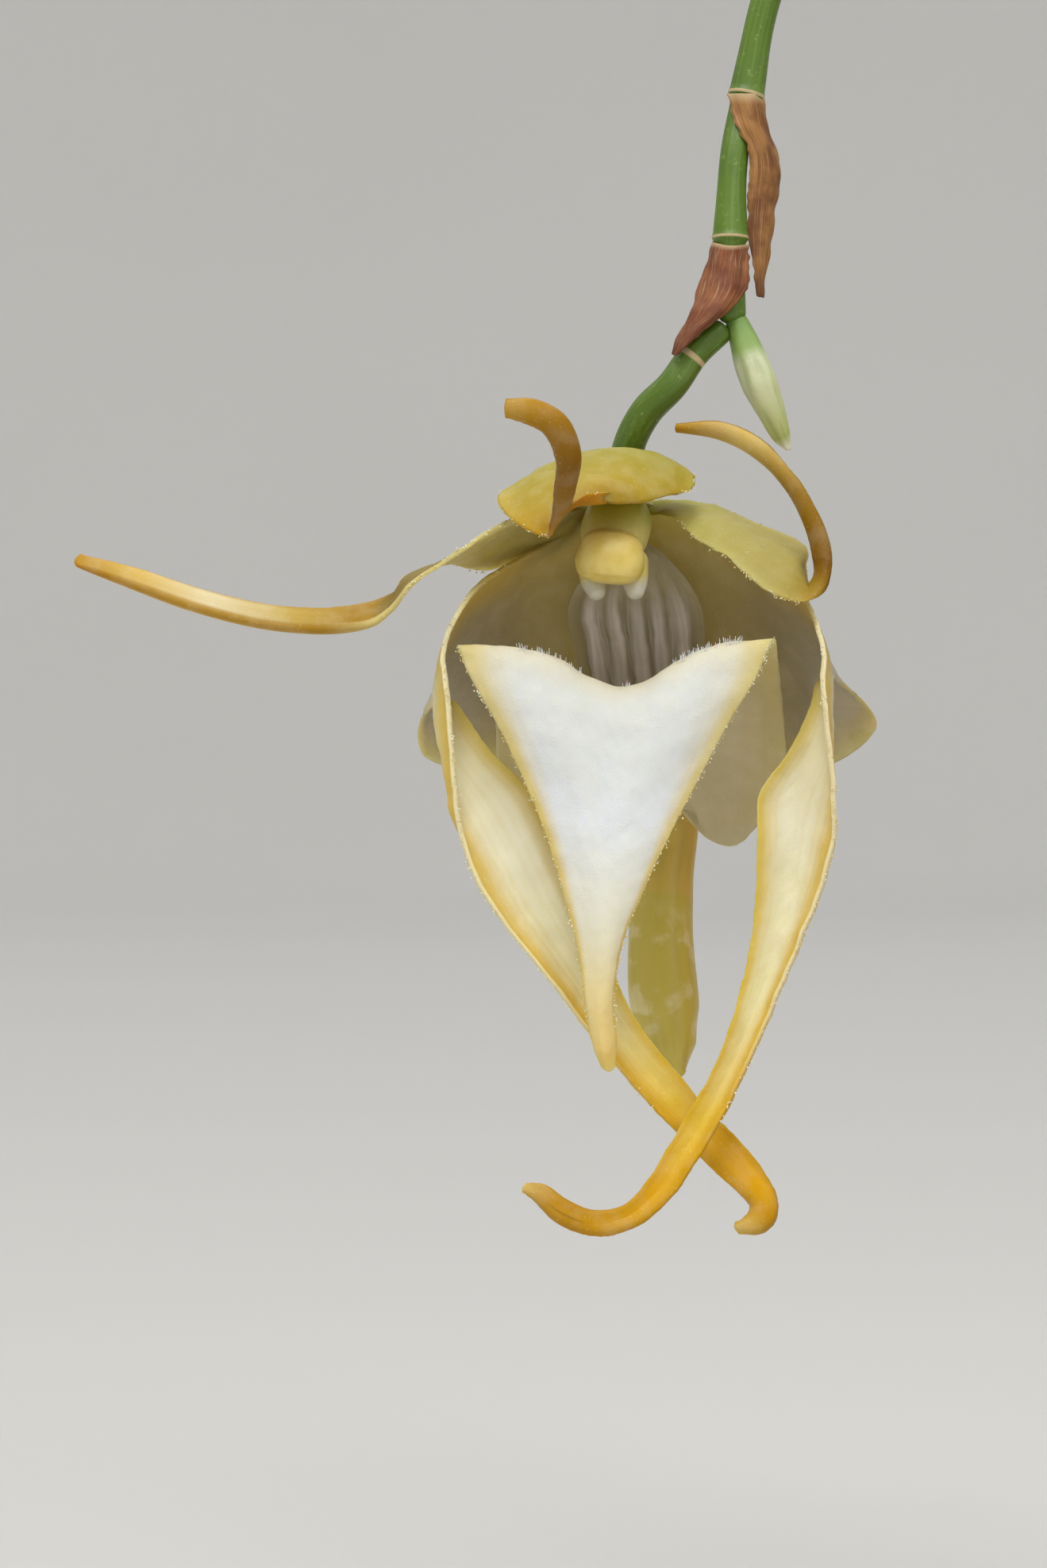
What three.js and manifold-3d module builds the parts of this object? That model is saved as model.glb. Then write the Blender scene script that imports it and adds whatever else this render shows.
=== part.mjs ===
// A potted aeranthes orchid: a clay pot of bark, strap leaves in a fan, and a wiry
// hanging stalk with one open flower, a young bud and dry bracts.
// Millimetres, +Z up, the pot's base centre at the origin, the flower seen along +Y.
import * as THREE from 'three';
import { mergeVertices } from 'three/addons/utils/BufferGeometryUtils.js';
import Module from 'manifold-3d';

const wasm = await Module();
wasm.setup();

// driving sizes
const gap = 0.3;
const bladeThickness = 0.6;
const potBaseRadius = 38;
const potRimRadius = 57;
const potHeight = 98;
const potWall = 5;
const potRimHeight = 20;
const mediumTop = 86;
const flowerAt = new THREE.Vector3(-105, -22, 112);
const stalkRadius = 1.15;
const fanHeading = new THREE.Vector3(0.17, -0.985, 0);

const plant = new THREE.Group();
plant.name = 'potted_aeranthes_orchid';
const flower = new THREE.Group();
flower.position.copy(flowerAt);
plant.add(flower);

// helpers: points, surfaces and solids

const vec = (p) => new THREE.Vector3(...p);
const spline = (points) => new THREE.CatmullRomCurve3(points, false, 'centripetal');

// A seeded random number between low and high.
function randomFrom(seed) {
  let state = seed;
  return (low, high) => {
    state = (state * 1664525 + 1013904223) % 4294967296;
    return low + (high - low) * state / 4294967296;
  };
}

// The smooth surface through rows of points: u runs from row to row, v across a row.
function surfaceThrough(rows) {
  const across = rows.map((row) => spline(row.map(vec)));
  const along = new Map();
  return (u, v) => {
    if (!along.has(v)) along.set(v, spline(across.map((curve) => curve.getPointAt(v))));
    return along.get(v).getPoint(u);
  };
}

// A closed mesh from vertices and faces of vertex numbers.
function meshOf(vertices, faces) {
  const geometry = new THREE.BufferGeometry();
  const flat = vertices.flatMap((p) => [p.x, p.y, p.z]);
  geometry.setAttribute('position', new THREE.Float32BufferAttribute(flat, 3));
  geometry.setIndex(faces.flat());
  return geometry;
}

// A thin solid sheet along a surface, split into triangles alike on both faces.
function sheet(surface, along, across, thickness = bladeThickness) {
  const width = across + 1;
  const middle = [];
  for (let i = 0; i <= along; i += 1) {
    for (let j = 0; j <= across; j += 1) middle.push(surface(i / along, j / across));
  }
  const at = (i, j) => middle[
    THREE.MathUtils.clamp(i, 0, along) * width + THREE.MathUtils.clamp(j, 0, across)];
  const normals = middle.map((_, k) => {
    const i = Math.floor(k / width);
    const j = k % width;
    const du = at(i + 1, j).clone().sub(at(i - 1, j));
    const dv = at(i, j + 1).clone().sub(at(i, j - 1));
    return du.cross(dv).normalize();
  });
  const front = middle.map((p, k) => p.clone().addScaledVector(normals[k], thickness / 2));
  const back = middle.map((p, k) => p.clone().addScaledVector(normals[k], -thickness / 2));
  const behind = middle.length;
  const faces = [];
  for (let i = 0; i < along; i += 1) {
    for (let j = 0; j < across; j += 1) {
      const a = i * width + j;
      const b = a + width;
      faces.push([a, b, b + 1], [a, b + 1, a + 1]);
      faces.push([a + behind, b + 1 + behind, b + behind], [a + behind, a + 1 + behind, b + 1 + behind]);
    }
  }
  const rim = [];
  for (let i = 0; i < along; i += 1) rim.push([i * width, (i + 1) * width]);
  for (let j = 0; j < across; j += 1) rim.push([along * width + j, along * width + j + 1]);
  for (let i = along; i > 0; i -= 1) rim.push([i * width + across, (i - 1) * width + across]);
  for (let j = across; j > 0; j -= 1) rim.push([j, j - 1]);
  rim.forEach(([a, b]) => faces.push([a, a + behind, b + behind], [a, b + behind, b]));
  return meshOf([...front, ...back], faces);
}

const blade = (rows, along, across) => sheet(surfaceThrough(rows), along, across);

// A round solid along points, with a radius at each, closed by flat ends.
function limb(points, radii, { sides = 12, steps = 6, grow = 0 } = {}) {
  const route = spline(points.map(vec));
  const rings = (points.length - 1) * steps;
  const reach = radii.length - 1;
  const radiusAt = (t) => {
    const k = Math.min(Math.floor(t * reach), reach - 1);
    return THREE.MathUtils.lerp(radii[k], radii[k + 1], t * reach - k) + grow;
  };
  const places = Array.from({ length: rings + 1 }, (_, i) => route.getPoint(i / rings));
  places[0].addScaledVector(route.getTangent(0), -grow);
  places[rings].addScaledVector(route.getTangent(1), grow);
  let side = new THREE.Vector3(0, 1, 0);
  const vertices = [];
  places.forEach((place, i) => {
    const ahead = route.getTangent(i / rings);
    if (i === 0 && Math.abs(ahead.y) > 0.9) side = new THREE.Vector3(1, 0, 0);
    side = side.clone().addScaledVector(ahead, -side.dot(ahead)).normalize();
    const up = ahead.clone().cross(side);
    for (let s = 0; s < sides; s += 1) {
      const turn = 2 * Math.PI * s / sides;
      const out = side.clone().multiplyScalar(Math.cos(turn)).addScaledVector(up, Math.sin(turn));
      vertices.push(place.clone().addScaledVector(out, radiusAt(i / rings)));
    }
  });
  const first = vertices.push(places[0]) - 1;
  const last = vertices.push(places[rings]) - 1;
  const faces = [];
  for (let s = 0; s < sides; s += 1) {
    const next = (s + 1) % sides;
    faces.push([first, next, s], [last, rings * sides + s, rings * sides + next]);
    for (let i = 0; i < rings; i += 1) {
      const a = i * sides;
      const b = a + sides;
      faces.push([a + s, a + next, b + next], [a + s, b + next, b + s]);
    }
  }
  return meshOf(vertices, faces);
}

// A geometry as a manifold-3d solid, and back.
function solid(geometry) {
  const bare = geometry.clone();
  bare.deleteAttribute('normal');
  bare.deleteAttribute('uv');
  const merged = mergeVertices(bare, 1e-4);
  return new wasm.Manifold(new wasm.Mesh({
    numProp: 3,
    vertProperties: merged.attributes.position.array,
    triVerts: new Uint32Array(merged.index.array),
  }));
}

function geometryOf(made) {
  const mesh = made.getMesh();
  const geometry = new THREE.BufferGeometry();
  geometry.setAttribute('position', new THREE.BufferAttribute(mesh.vertProperties, 3));
  geometry.setIndex(new THREE.BufferAttribute(mesh.triVerts, 1));
  return geometry;
}

const join = (...pieces) => geometryOf(pieces.map(solid).reduce((a, b) => a.add(b)));

// A piece with tools cut away; loose scraps are dropped.
function cut(piece, ...tools) {
  const left = tools.map(solid).reduce((a, b) => a.subtract(b), solid(piece));
  return geometryOf(left.decompose().reduce((a, b) => (b.volume() > a.volume() ? b : a)));
}

function lathe(profile, segments) {
  const geometry = new THREE.LatheGeometry(profile.map(([r, z]) => new THREE.Vector2(r, z)), segments);
  return geometry.rotateX(Math.PI / 2);
}

function add(parent, name, geometry, color, roughness) {
  const mesh = new THREE.Mesh(geometry, new THREE.MeshStandardMaterial({ color, roughness, metalness: 0 }));
  mesh.name = name;
  parent.add(mesh);
}

// the pot: a tapered clay wall, a thicker rim band and drainage holes

const potSides = 36;
const rimStandsOut = 3.5;
const rimBevel = 1.5;
const footBevel = 1;
const potWallRadius = potRimRadius - rimStandsOut;
const rimUnder = potHeight - potRimHeight;
const potFloor = 7;
const holeRadius = 4.5;
const holeRing = 20;
const holeTurns = [0.5, 2.59, 4.69];
const potInnerAt = (z) => THREE.MathUtils.lerp(potBaseRadius, potWallRadius, z / rimUnder) - potWall;

function clayPot() {
  const rimInner = potRimRadius - potWall;
  const body = lathe([
    [0, 0], [potBaseRadius - footBevel, 0], [potBaseRadius, footBevel], [potWallRadius, rimUnder],
    [potRimRadius - rimBevel, rimUnder], [potRimRadius, rimUnder + rimBevel],
    [potRimRadius, potHeight - rimBevel], [potRimRadius - rimBevel, potHeight],
    [rimInner, potHeight], [rimInner - rimBevel, potHeight - rimBevel],
    [potInnerAt(rimUnder), rimUnder], [potInnerAt(potFloor), potFloor], [0, potFloor],
  ], potSides);
  const holes = holeTurns.map((turn) => {
    const hole = new THREE.CylinderGeometry(holeRadius, holeRadius, 4 * potFloor, 16).rotateX(Math.PI / 2);
    return hole.translate(holeRing * Math.cos(turn), holeRing * Math.sin(turn), 0);
  });
  return cut(body, ...holes);
}

// the stem: a short core clasped by old leaf sheaths in two ranks

const leaves = [
  { length: 150, width: 30, rise: 14, bend: 62, yaw: 0.16 },
  { length: 168, width: 32, rise: 20, bend: 66, yaw: -0.1 },
  { length: 178, width: 33, rise: 36, bend: 68, yaw: -0.12 },
  { length: 172, width: 33, rise: 44, bend: 62, yaw: 0.12 },
  { length: 150, width: 31, rise: 58, bend: 52, yaw: 0.05 },
  { length: 96, width: 24, rise: 68, bend: 26, yaw: -0.04 },
];
const lowestLeafBase = 101;
const leafBaseStep = 7;
const leafBaseHeight = (k) => lowestLeafBase + leafBaseStep * k;
const leafSide = (k) => (k % 2 ? -1 : 1);
const stemRoute = [[0, 0, 74], [0, 0, 100], [0, 0, 133]];
const stemRadii = [5.2, 4.6, 2.6];
const sheathReach = 8.5;
const sheathLength = 18;
const sheathLowest = 95;
const sheathRadii = [3.2, 3.7, 3];

const stemCore = (grow) => limb(stemRoute, stemRadii, { sides: 10, steps: 3, grow });

function stem() {
  const sheaths = leaves.map((_, k) => {
    const out = fanHeading.clone().multiplyScalar(leafSide(k) * sheathReach);
    const z = leafBaseHeight(k);
    const foot = Math.max(z - sheathLength, sheathLowest);
    const bend = [out.x * 0.4, out.y * 0.4, THREE.MathUtils.lerp(foot, z, 0.55)];
    return limb([[0, 0, foot], bend, [out.x, out.y, z]], sheathRadii, { sides: 8, steps: 2 });
  });
  return join(stemCore(0), ...sheaths);
}

// the leaves: folded straps that arch over, each with two uneven lobes at its tip

const leafSeat = 0.8;
const leafThickness = 1.2;
const lobeLong = 6;
const lobeShort = 2;
const shoulder = 5;
const footWidth = 0.24;
const fullWidthAt = 0.4;
const tipTaper = 0.34;
const openFold = 13;
const closedFold = 52;
const foldOpensBy = 0.3;
const ribSoftness = 0.25;
const leafSteps = 200;

function leaf({ length, width, rise, bend, yaw }, k) {
  const up = new THREE.Vector3(0, 0, 1);
  const heading = fanHeading.clone().multiplyScalar(leafSide(k)).applyAxisAngle(up, yaw);
  const sideways = up.clone().cross(heading);
  const slope = (s) => THREE.MathUtils.degToRad(rise - bend * s ** 1.4);
  const midline = [heading.clone().multiplyScalar(sheathReach + leafSeat).setZ(leafBaseHeight(k) + leafSeat)];
  for (let i = 0; i < leafSteps; i += 1) {
    const angle = slope((i + 0.5) / leafSteps);
    midline.push(midline[i].clone()
      .addScaledVector(heading, Math.cos(angle) * length / leafSteps)
      .addScaledVector(up, Math.sin(angle) * length / leafSteps));
  }
  const surface = (u, v) => {
    const w = 2 * v - 1;
    const lobe = w < 0 ? lobeLong : lobeShort;
    const lobeShape = lobe * Math.sin(Math.PI * Math.min(1, 1.25 * Math.abs(w))) - shoulder * w ** 6;
    const s = u * (1 - lobeLong / length) + lobeShape / length * u ** 10;
    const over = heading.clone().multiplyScalar(-Math.sin(slope(s))).setZ(Math.cos(slope(s)));
    const broad = THREE.MathUtils.lerp(footWidth, 1, Math.min(1, s / fullWidthAt) ** 0.7);
    const half = 0.5 * width * broad * (1 - tipTaper * Math.max(0, 2 * s - 1) ** 2);
    const fold = THREE.MathUtils.degToRad(openFold + closedFold * (1 - Math.min(1, s / foldOpensBy)) ** 1.5);
    const rib = ribSoftness * (1 - w * w);
    return midline[Math.round(s * leafSteps)].clone()
      .addScaledVector(sideways, half * w * Math.cos(fold))
      .addScaledVector(over, half * Math.sin(fold) * (Math.abs(w) - rib));
  };
  return sheet(surface, 14, 6, leafThickness);
}

// the roots: they leave the stem's foot, lie over the bark and dive into it

const roots = [
  { points: [[5.6, 1, 92], [14, 5, 93], [25, 10, 93.4], [36, 16, 90], [41, 19, 80]], radius: 2 },
  { points: [[-4.6, 3, 91], [-12, 11, 94], [-18, 23, 93.6], [-24, 34, 88], [-27, 38, 78]], radius: 1.9 },
  { points: [[-4.4, -4, 90.6], [-13, -12, 93], [-24, -20, 94], [-33, -22, 90], [-38, -23, 79]], radius: 2 },
  { points: [[2, -5.8, 91], [8, -17, 93.5], [12, -29, 93], [12, -38, 86], [12, -41, 77]], radius: 1.8 },
];
const rootRadii = (radius) => [radius, radius, radius, radius * 0.95, radius * 0.7];
const root = ({ points, radius }, grow) => limb(points, rootRadii(radius), { sides: 7, steps: 3, grow });

// the medium: a plug that fills the pot, its top covered by seeded bark chips

const chipCount = 38;
const chipSeed = 11;
const chipLength = [18, 27];
const chipWidth = [11, 16];
const chipHeight = [4, 6.5];
const chipTilt = [-0.3, 0.3];
const chipLevel = [-0.6, 1.6];
const chipReach = potInnerAt(rimUnder) - 13;
const plugTopFlare = 0.8;

function barkChip(random) {
  const chip = new THREE.BoxGeometry(random(...chipLength), random(...chipWidth), random(...chipHeight));
  const corners = chip.attributes.position;
  const nudge = Array.from({ length: 8 }, () => new THREE.Vector3(random(-2, 2), random(-2, 2), random(-1, 1)));
  for (let i = 0; i < corners.count; i += 1) {
    const corner = new THREE.Vector3().fromBufferAttribute(corners, i);
    const which = (corner.x > 0 ? 1 : 0) + (corner.y > 0 ? 2 : 0) + (corner.z > 0 ? 4 : 0);
    corner.add(nudge[which]);
    corners.setXYZ(i, corner.x, corner.y, corner.z);
  }
  const turn = random(0, 2 * Math.PI);
  const ring = chipReach * Math.sqrt(random(0, 1));
  return chip.rotateX(random(...chipTilt)).rotateY(random(...chipTilt)).rotateZ(random(0, 2 * Math.PI))
    .translate(ring * Math.cos(turn), ring * Math.sin(turn), mediumTop + random(...chipLevel));
}

function pottingMedium() {
  const low = potFloor + gap;
  const plug = lathe([
    [0, low], [potInnerAt(low) - gap, low], [potInnerAt(rimUnder) - gap, rimUnder],
    [potInnerAt(rimUnder) - gap + plugTopFlare, mediumTop], [0, mediumTop],
  ], potSides);
  const random = randomFrom(chipSeed);
  const chips = Array.from({ length: chipCount }, () => barkChip(random));
  const holes = [stemCore(gap), ...roots.map((each) => root(each, gap))];
  return cut(join(plug, ...chips), ...holes);
}

// the flower stalk: up beside the leaves, over, and down to the fork

const stalkRoute = [
  [98.7, 21.4, -9], [91, 18, 9], [74, 12, 35], [54, 7, 53], [36, 3.5, 60], [22, 2.4, 54],
  [13.6, 2.8, 44], [10.9, 3, 37.3], [9.4, 3, 30], [8.4, 2, 25], [8.1, 1.5, 18.8], [8.1, 1.3, 15.1],
  [8.2, 1.2, 12.9],
];
const stalkUnderBract = 0.7;
const stalkRadii = [1.6, 1.3, ...Array(6).fill(stalkRadius), ...Array(4).fill(stalkUnderBract), 1.1];

const upperBractRows = [
  [[7.9, 2.2, 30], [9.1, 1.3, 29.9], [10.8, 3, 30], [9.3, 4.7, 30.2], [8.1, 3.9, 30.1]],
  [[8.5, 1.2, 27.5], [9.9, 1.2, 27.3], [11, 3.2, 27.6], [10.4, 5, 27.9], [8.9, 5, 28]],
  [[9.4, 1, 25.8], [10.7, 1.6, 25.7], [11.6, 3.4, 25.9], [10.8, 5, 26.1], [9.5, 5.2, 26.2]],
  [[9.6, 1.2, 24.4], [11, 1.8, 24.5], [12, 3.4, 24.8], [11.2, 5, 24.9], [9.8, 5.2, 25]],
  [[9.4, 1.6, 21.2], [10.7, 1.8, 21.1], [11.6, 3, 21.1], [10.8, 4.4, 21.3], [9.7, 4.8, 21.5]],
  [[9.6, 1.6, 18.1], [10.4, 1.8, 17.8], [11.2, 2.6, 17.7], [10.6, 3.6, 17.9], [9.9, 4, 18.2]],
  [[10, 1.8, 15.8], [10.4, 2, 15.7], [10.8, 2.4, 15.6], [10.5, 3, 15.7], [10.2, 3.2, 15.8]],
  [[10.1, 2, 14.4], [10.4, 2, 14.3], [10.7, 2.2, 14.3], [10.6, 2.5, 14.3], [10.2, 2.6, 14.4]],
];

const lowerBractRows = [
  [[9.5, 1.2, 18.3], [8.1, -0.3, 18], [6.7, 1.4, 18.5], [7.7, 3.1, 18.8], [8.9, 3.1, 18.8]],
  [[9.5, 0.9, 16.9], [8, -0.5, 16.6], [6.3, 1.2, 16.9], [7.2, 3.2, 17.2], [8.5, 3.4, 17.3]],
  [[9.4, 0.4, 15], [7.7, -1, 14.8], [5.7, 0.6, 15.2], [6.6, 2.8, 15.5], [7.7, 3.4, 15.5]],
  [[8.1, -0.7, 13.2], [6.8, -1.7, 12.8], [5.1, -0.4, 13.1], [5.7, 1.6, 13.4], [6.4, 2.6, 13.6]],
  [[6.3, -1.3, 11.7], [5.5, -1.7, 11.5], [4.5, -0.8, 11.6], [4.5, 0.6, 11.9], [4.8, 1.6, 12.1]],
  [[4.8, -1.4, 10.3], [4.5, -1.5, 10.3], [3.9, -1.2, 10.5], [3.8, -0.6, 10.6], [4, 0, 10.7]],
  [[4, -1.3, 9.6], [3.8, -1.3, 9.5], [3.6, -1.1, 9.6], [3.6, -0.8, 9.8], [3.7, -0.5, 9.9]],
];

// the open flower: each outline is rows of points from its base to its tip

const pedicelRoute = [
  [7.1, 1, 11.5], [5.3, 0.6, 9.8], [3.6, 0.6, 7.4], [1.7, 1.4, 5.5], [0.5, 2.4, 3.4],
  [0, 3.5, 1.3], [-0.3, 3.9, -0.6], [-0.4, 3.4, -2],
];
const pedicelRadii = [1.1, 1.15, 1.2, 1.25, 1.25, 1.3, 1.3, 1.3];

const budRoute = [
  [8.6, 1.2, 12.2], [9.1, 1, 10.9], [9.7, 0.8, 9.2], [10.4, 0.6, 7.4], [11.2, 0.6, 5.5],
  [12, 0.8, 3.6], [12.5, 1, 2.6],
];
const budRadii = [0.9, 1.1, 1.35, 1.4, 1.1, 0.7, 0.3];

const columnRoute = [
  [-0.5, 2.4, -2.9], [-0.6, 0, -3.2], [-0.9, -2.4, -4.2], [-1.1, -4.4, -5.3], [-1.2, -5.6, -6.1],
];
const columnRadii = [1.7, 2.1, 2.5, 2.75, 2.1];
const columnBody = (grow) => limb(columnRoute, columnRadii, { sides: 14, steps: 3, grow });

const footRows = [
  [[-1.7, 0.9, -4.2], [-1, 0.8, -4.2], [-0.3, 0.8, -4.2], [0.5, 0.8, -4.2], [1.3, 0.9, -4.2]],
  [[-2.6, 0.8, -6.2], [-1.1, 0.9, -6.1], [0.5, 1, -6.1], [2.1, 0.9, -6.1], [3.7, 0.8, -6.3]],
  [[-4.4, 1.8, -9.5], [-1.8, 2, -9.4], [0.8, 2.2, -9.4], [3.4, 2, -9.4], [5.9, 1.8, -9.5]],
  [[-3.9, 3.4, -12.7], [-1.3, 3.6, -12.6], [1.3, 3.8, -12.6], [3.9, 3.6, -12.5], [6.3, 3.4, -12.5]],
  [[-3.1, 5.4, -16.3], [-0.7, 5.7, -16.3], [1.8, 6, -16.3], [4.2, 5.7, -16.3], [6.5, 5.4, -16.3]],
  [[-0.7, 8.2, -20.6], [1.2, 8.5, -20.6], [3.1, 8.7, -20.6], [4.9, 8.5, -20.6], [6.5, 8.2, -20.6]],
  [[2.6, 10.6, -24], [3.3, 10.8, -24], [4.2, 11, -24], [5.1, 10.8, -24], [6, 10.6, -24]],
];

// The foot's front is ridged lengthwise, from a third of the way down.
const footThickness = 0.8;
const ridges = 6;
const ridgeHeight = 0.22;
const ridgeFacing = new THREE.Vector3(0, -0.9, -0.4);

function ridgedFoot() {
  const plain = surfaceThrough(footRows);
  const ridged = (u, v) => {
    const rise = ridgeHeight * Math.min(1, 3 * u) * Math.cos(2 * Math.PI * ridges * v);
    return plain(u, v).addScaledVector(ridgeFacing, rise);
  };
  return sheet(ridged, 10, 24, footThickness);
}

// The anther cap is broader than deep, about its own middle.
const antherRoute = [[0, -4.9, -4.2], [0, -6, -5.2], [0, -6.6, -6.6], [0, -6.5, -8.1]];
const antherRadii = [0.9, 1.8, 1.95, 1.5];
const antherMiddle = -1.3;
const antherBreadth = 1.33;
const antherCap = (grow) => limb(antherRoute, antherRadii, { sides: 10, steps: 3, grow })
  .scale(antherBreadth, 1, 1).translate(antherMiddle, 0, 0);

// The neck joins the column to its foot; the two teeth stand below the anther cap.
const neckRoute = [[-0.4, 0.4, -3.4], [-0.2, 0.2, -6.2]];
const neckRadii = [1.7, 1.2];
const teeth = [
  { route: [[-2.5, -3.9, -6.6], [-2.5, -4.4, -8], [-2.2, -5, -9.3]], radii: [1.3, 1, 0.5] },
  { route: [[0.3, -3.8, -6.4], [0.6, -4.3, -7.9], [0.7, -4.9, -9.2]], radii: [1.4, 1, 0.5] },
];

function column() {
  const neck = limb(neckRoute, neckRadii, { sides: 10, steps: 2 });
  const lobes = teeth.map(({ route, radii }) => limb(route, radii, { sides: 8, steps: 2 }));
  return cut(join(columnBody(0), neck, ridgedFoot(), ...lobes), antherCap(gap));
}

const spurRoute = [
  [4.4, 12.1, -24.7], [4, 12.4, -27.8], [3.2, 11.6, -31.6], [3, 10.6, -36.5], [3.3, 10, -40.9],
  [3.7, 9.6, -44], [4.2, 9.4, -45.8],
];
const spurRadii = [1.6, 1.9, 2.3, 2.65, 2.7, 2.1, 0.8];

const dorsalSepalRows = [
  [[-1, 1.6, -0.9], [0.2, 2.2, -0.5], [1.3, 1.6, -0.9]],
  [[-4.5, -0.6, -1.3], [-2.4, 0.4, 0.6], [-0.2, 0.7, 1.1], [2.3, 0.4, 0.6], [4.2, -0.4, -1]],
  [[-9, -3.4, -0.9], [-5.4, -3.6, 1.2], [-0.9, -3.2, 2.2], [3.1, -2.6, 1.6], [5.2, -2.2, 0.3]],
  [[-9.7, -6.6, -2.1], [-6, -7, -0.4], [-1.5, -6.8, 0.6], [2.5, -5.4, 0], [5, -3.6, -0.8]],
  [[-8.1, -9.4, -3.9], [-5.6, -9.8, -2.6], [-2.2, -9.6, -0.8], [1.3, -8, -1.8], [3.4, -5.6, -1.3]],
  [[-6.1, -11.4, -4.8], [-5.1, -12, -3.4], [-2.9, -11.4, -1.6]],
  [[-5.8, -13.6, -4.1], [-5.1, -14, -3.3], [-4.2, -13.6, -2.4]],
  [[-5.6, -17.6, -1.6], [-4.8, -18, -1.5], [-4, -17.6, -1.3]],
  [[-5.5, -20, 0.5], [-4.6, -20.4, 0.8], [-3.7, -20, 1.1]],
  [[-6.4, -21, 2.3], [-5.6, -21.4, 2.9], [-4.8, -21, 3.5]],
  [[-7.8, -21, 3], [-7.4, -21.4, 3.8], [-7.1, -21, 4.7]],
  [[-9.1, -20.6, 3.4], [-9.2, -20.6, 4.1], [-9.1, -20.6, 4.8]],
];

const leftPetalRows = [
  [[-2.5, 1.6, -1.7], [-2.6, 2.2, -2.1], [-2.5, 2.9, -2.5]],
  [[-5.1, -2.6, -2.8], [-5.2, 0, -3.2], [-4.9, 2.3, -4]],
  [[-8.4, -5, -3.2], [-8.6, -2.2, -4.1], [-8.3, 0.9, -5.9]],
  [[-11.4, -6.8, -4.8], [-11.6, -3.4, -5.6], [-11.2, 0.1, -6.9]],
  [[-13.8, -7.4, -6.5], [-14.1, -4, -6.5], [-13.6, -0.4, -6.3]],
  [[-16.2, -7.6, -8.2], [-16.6, -5, -7.8], [-17, -3, -7.6]],
  [[-17.8, -7.2, -10.2], [-17.9, -5.4, -9.4], [-17.6, -4.4, -8.6]],
  [[-19.3, -7, -11.3], [-19.5, -5.6, -10.3], [-19.3, -5, -9.4]],
  [[-22.2, -6.6, -11.7], [-22.3, -5.4, -10.8], [-22.4, -5, -9.9]],
  [[-27, -6.2, -11.4], [-27, -5, -10.5], [-26.9, -4.6, -9.7]],
  [[-32.4, -5.8, -10.1], [-32.3, -4.6, -9.3], [-32.2, -4.2, -8.5]],
  [[-37.5, -5.4, -8.3], [-37.4, -4.6, -7.6], [-37.2, -4.2, -6.9]],
  [[-41.7, -5, -6.7], [-41.9, -4.6, -6.3], [-41.5, -4.4, -5.8]],
];

const rightPetalRows = [
  [[1.6, 3.2, -1.4], [1.7, 2.6, -1.9], [1.6, 1.9, -2.4]],
  [[5.1, 1, -1.6], [4.5, -1, -2.3], [3.8, -2.4, -3.1]],
  [[7.3, 0.6, -2.1], [6.5, -2.4, -3.4], [5.5, -4, -4.8]],
  [[9.6, 0, -3.2], [8.6, -3.6, -4.7], [7.5, -5.2, -6]],
  [[11.9, -0.6, -4.1], [10.7, -4.6, -6.1], [9.2, -6.2, -7.6]],
  [[13.6, -1.4, -5.1], [12.5, -5.2, -7], [10.9, -7, -8.9]],
  [[13.6, -3, -6.6], [13.1, -5.6, -8.1], [12.5, -7, -9.5]],
  [[13.8, -4.6, -8.2], [13.7, -6, -8.8], [13.7, -6.8, -9.4]],
  [[14.3, -4.6, -7.4], [14.7, -5.8, -8], [15, -6.2, -8.6]],
  [[14.4, -4, -5.9], [15, -5.2, -6.1], [15.5, -5.2, -6.5]],
  [[13.8, -3.6, -3.3], [14.4, -4.6, -3.7], [15.1, -4.6, -4]],
  [[12.2, -3.2, -0.3], [12.8, -4.2, -0.6], [13.4, -4.2, -0.9]],
  [[9.5, -2.8, 2.1], [10, -3.8, 2.4], [10.5, -3.8, 2.8]],
  [[6.9, -2.6, 3.3], [7.1, -3.6, 3.8], [7.3, -3.6, 4.3]],
  [[3.8, -2.6, 3.6], [3.7, -3, 3.9], [3.8, -3, 4.2]],
];

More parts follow.
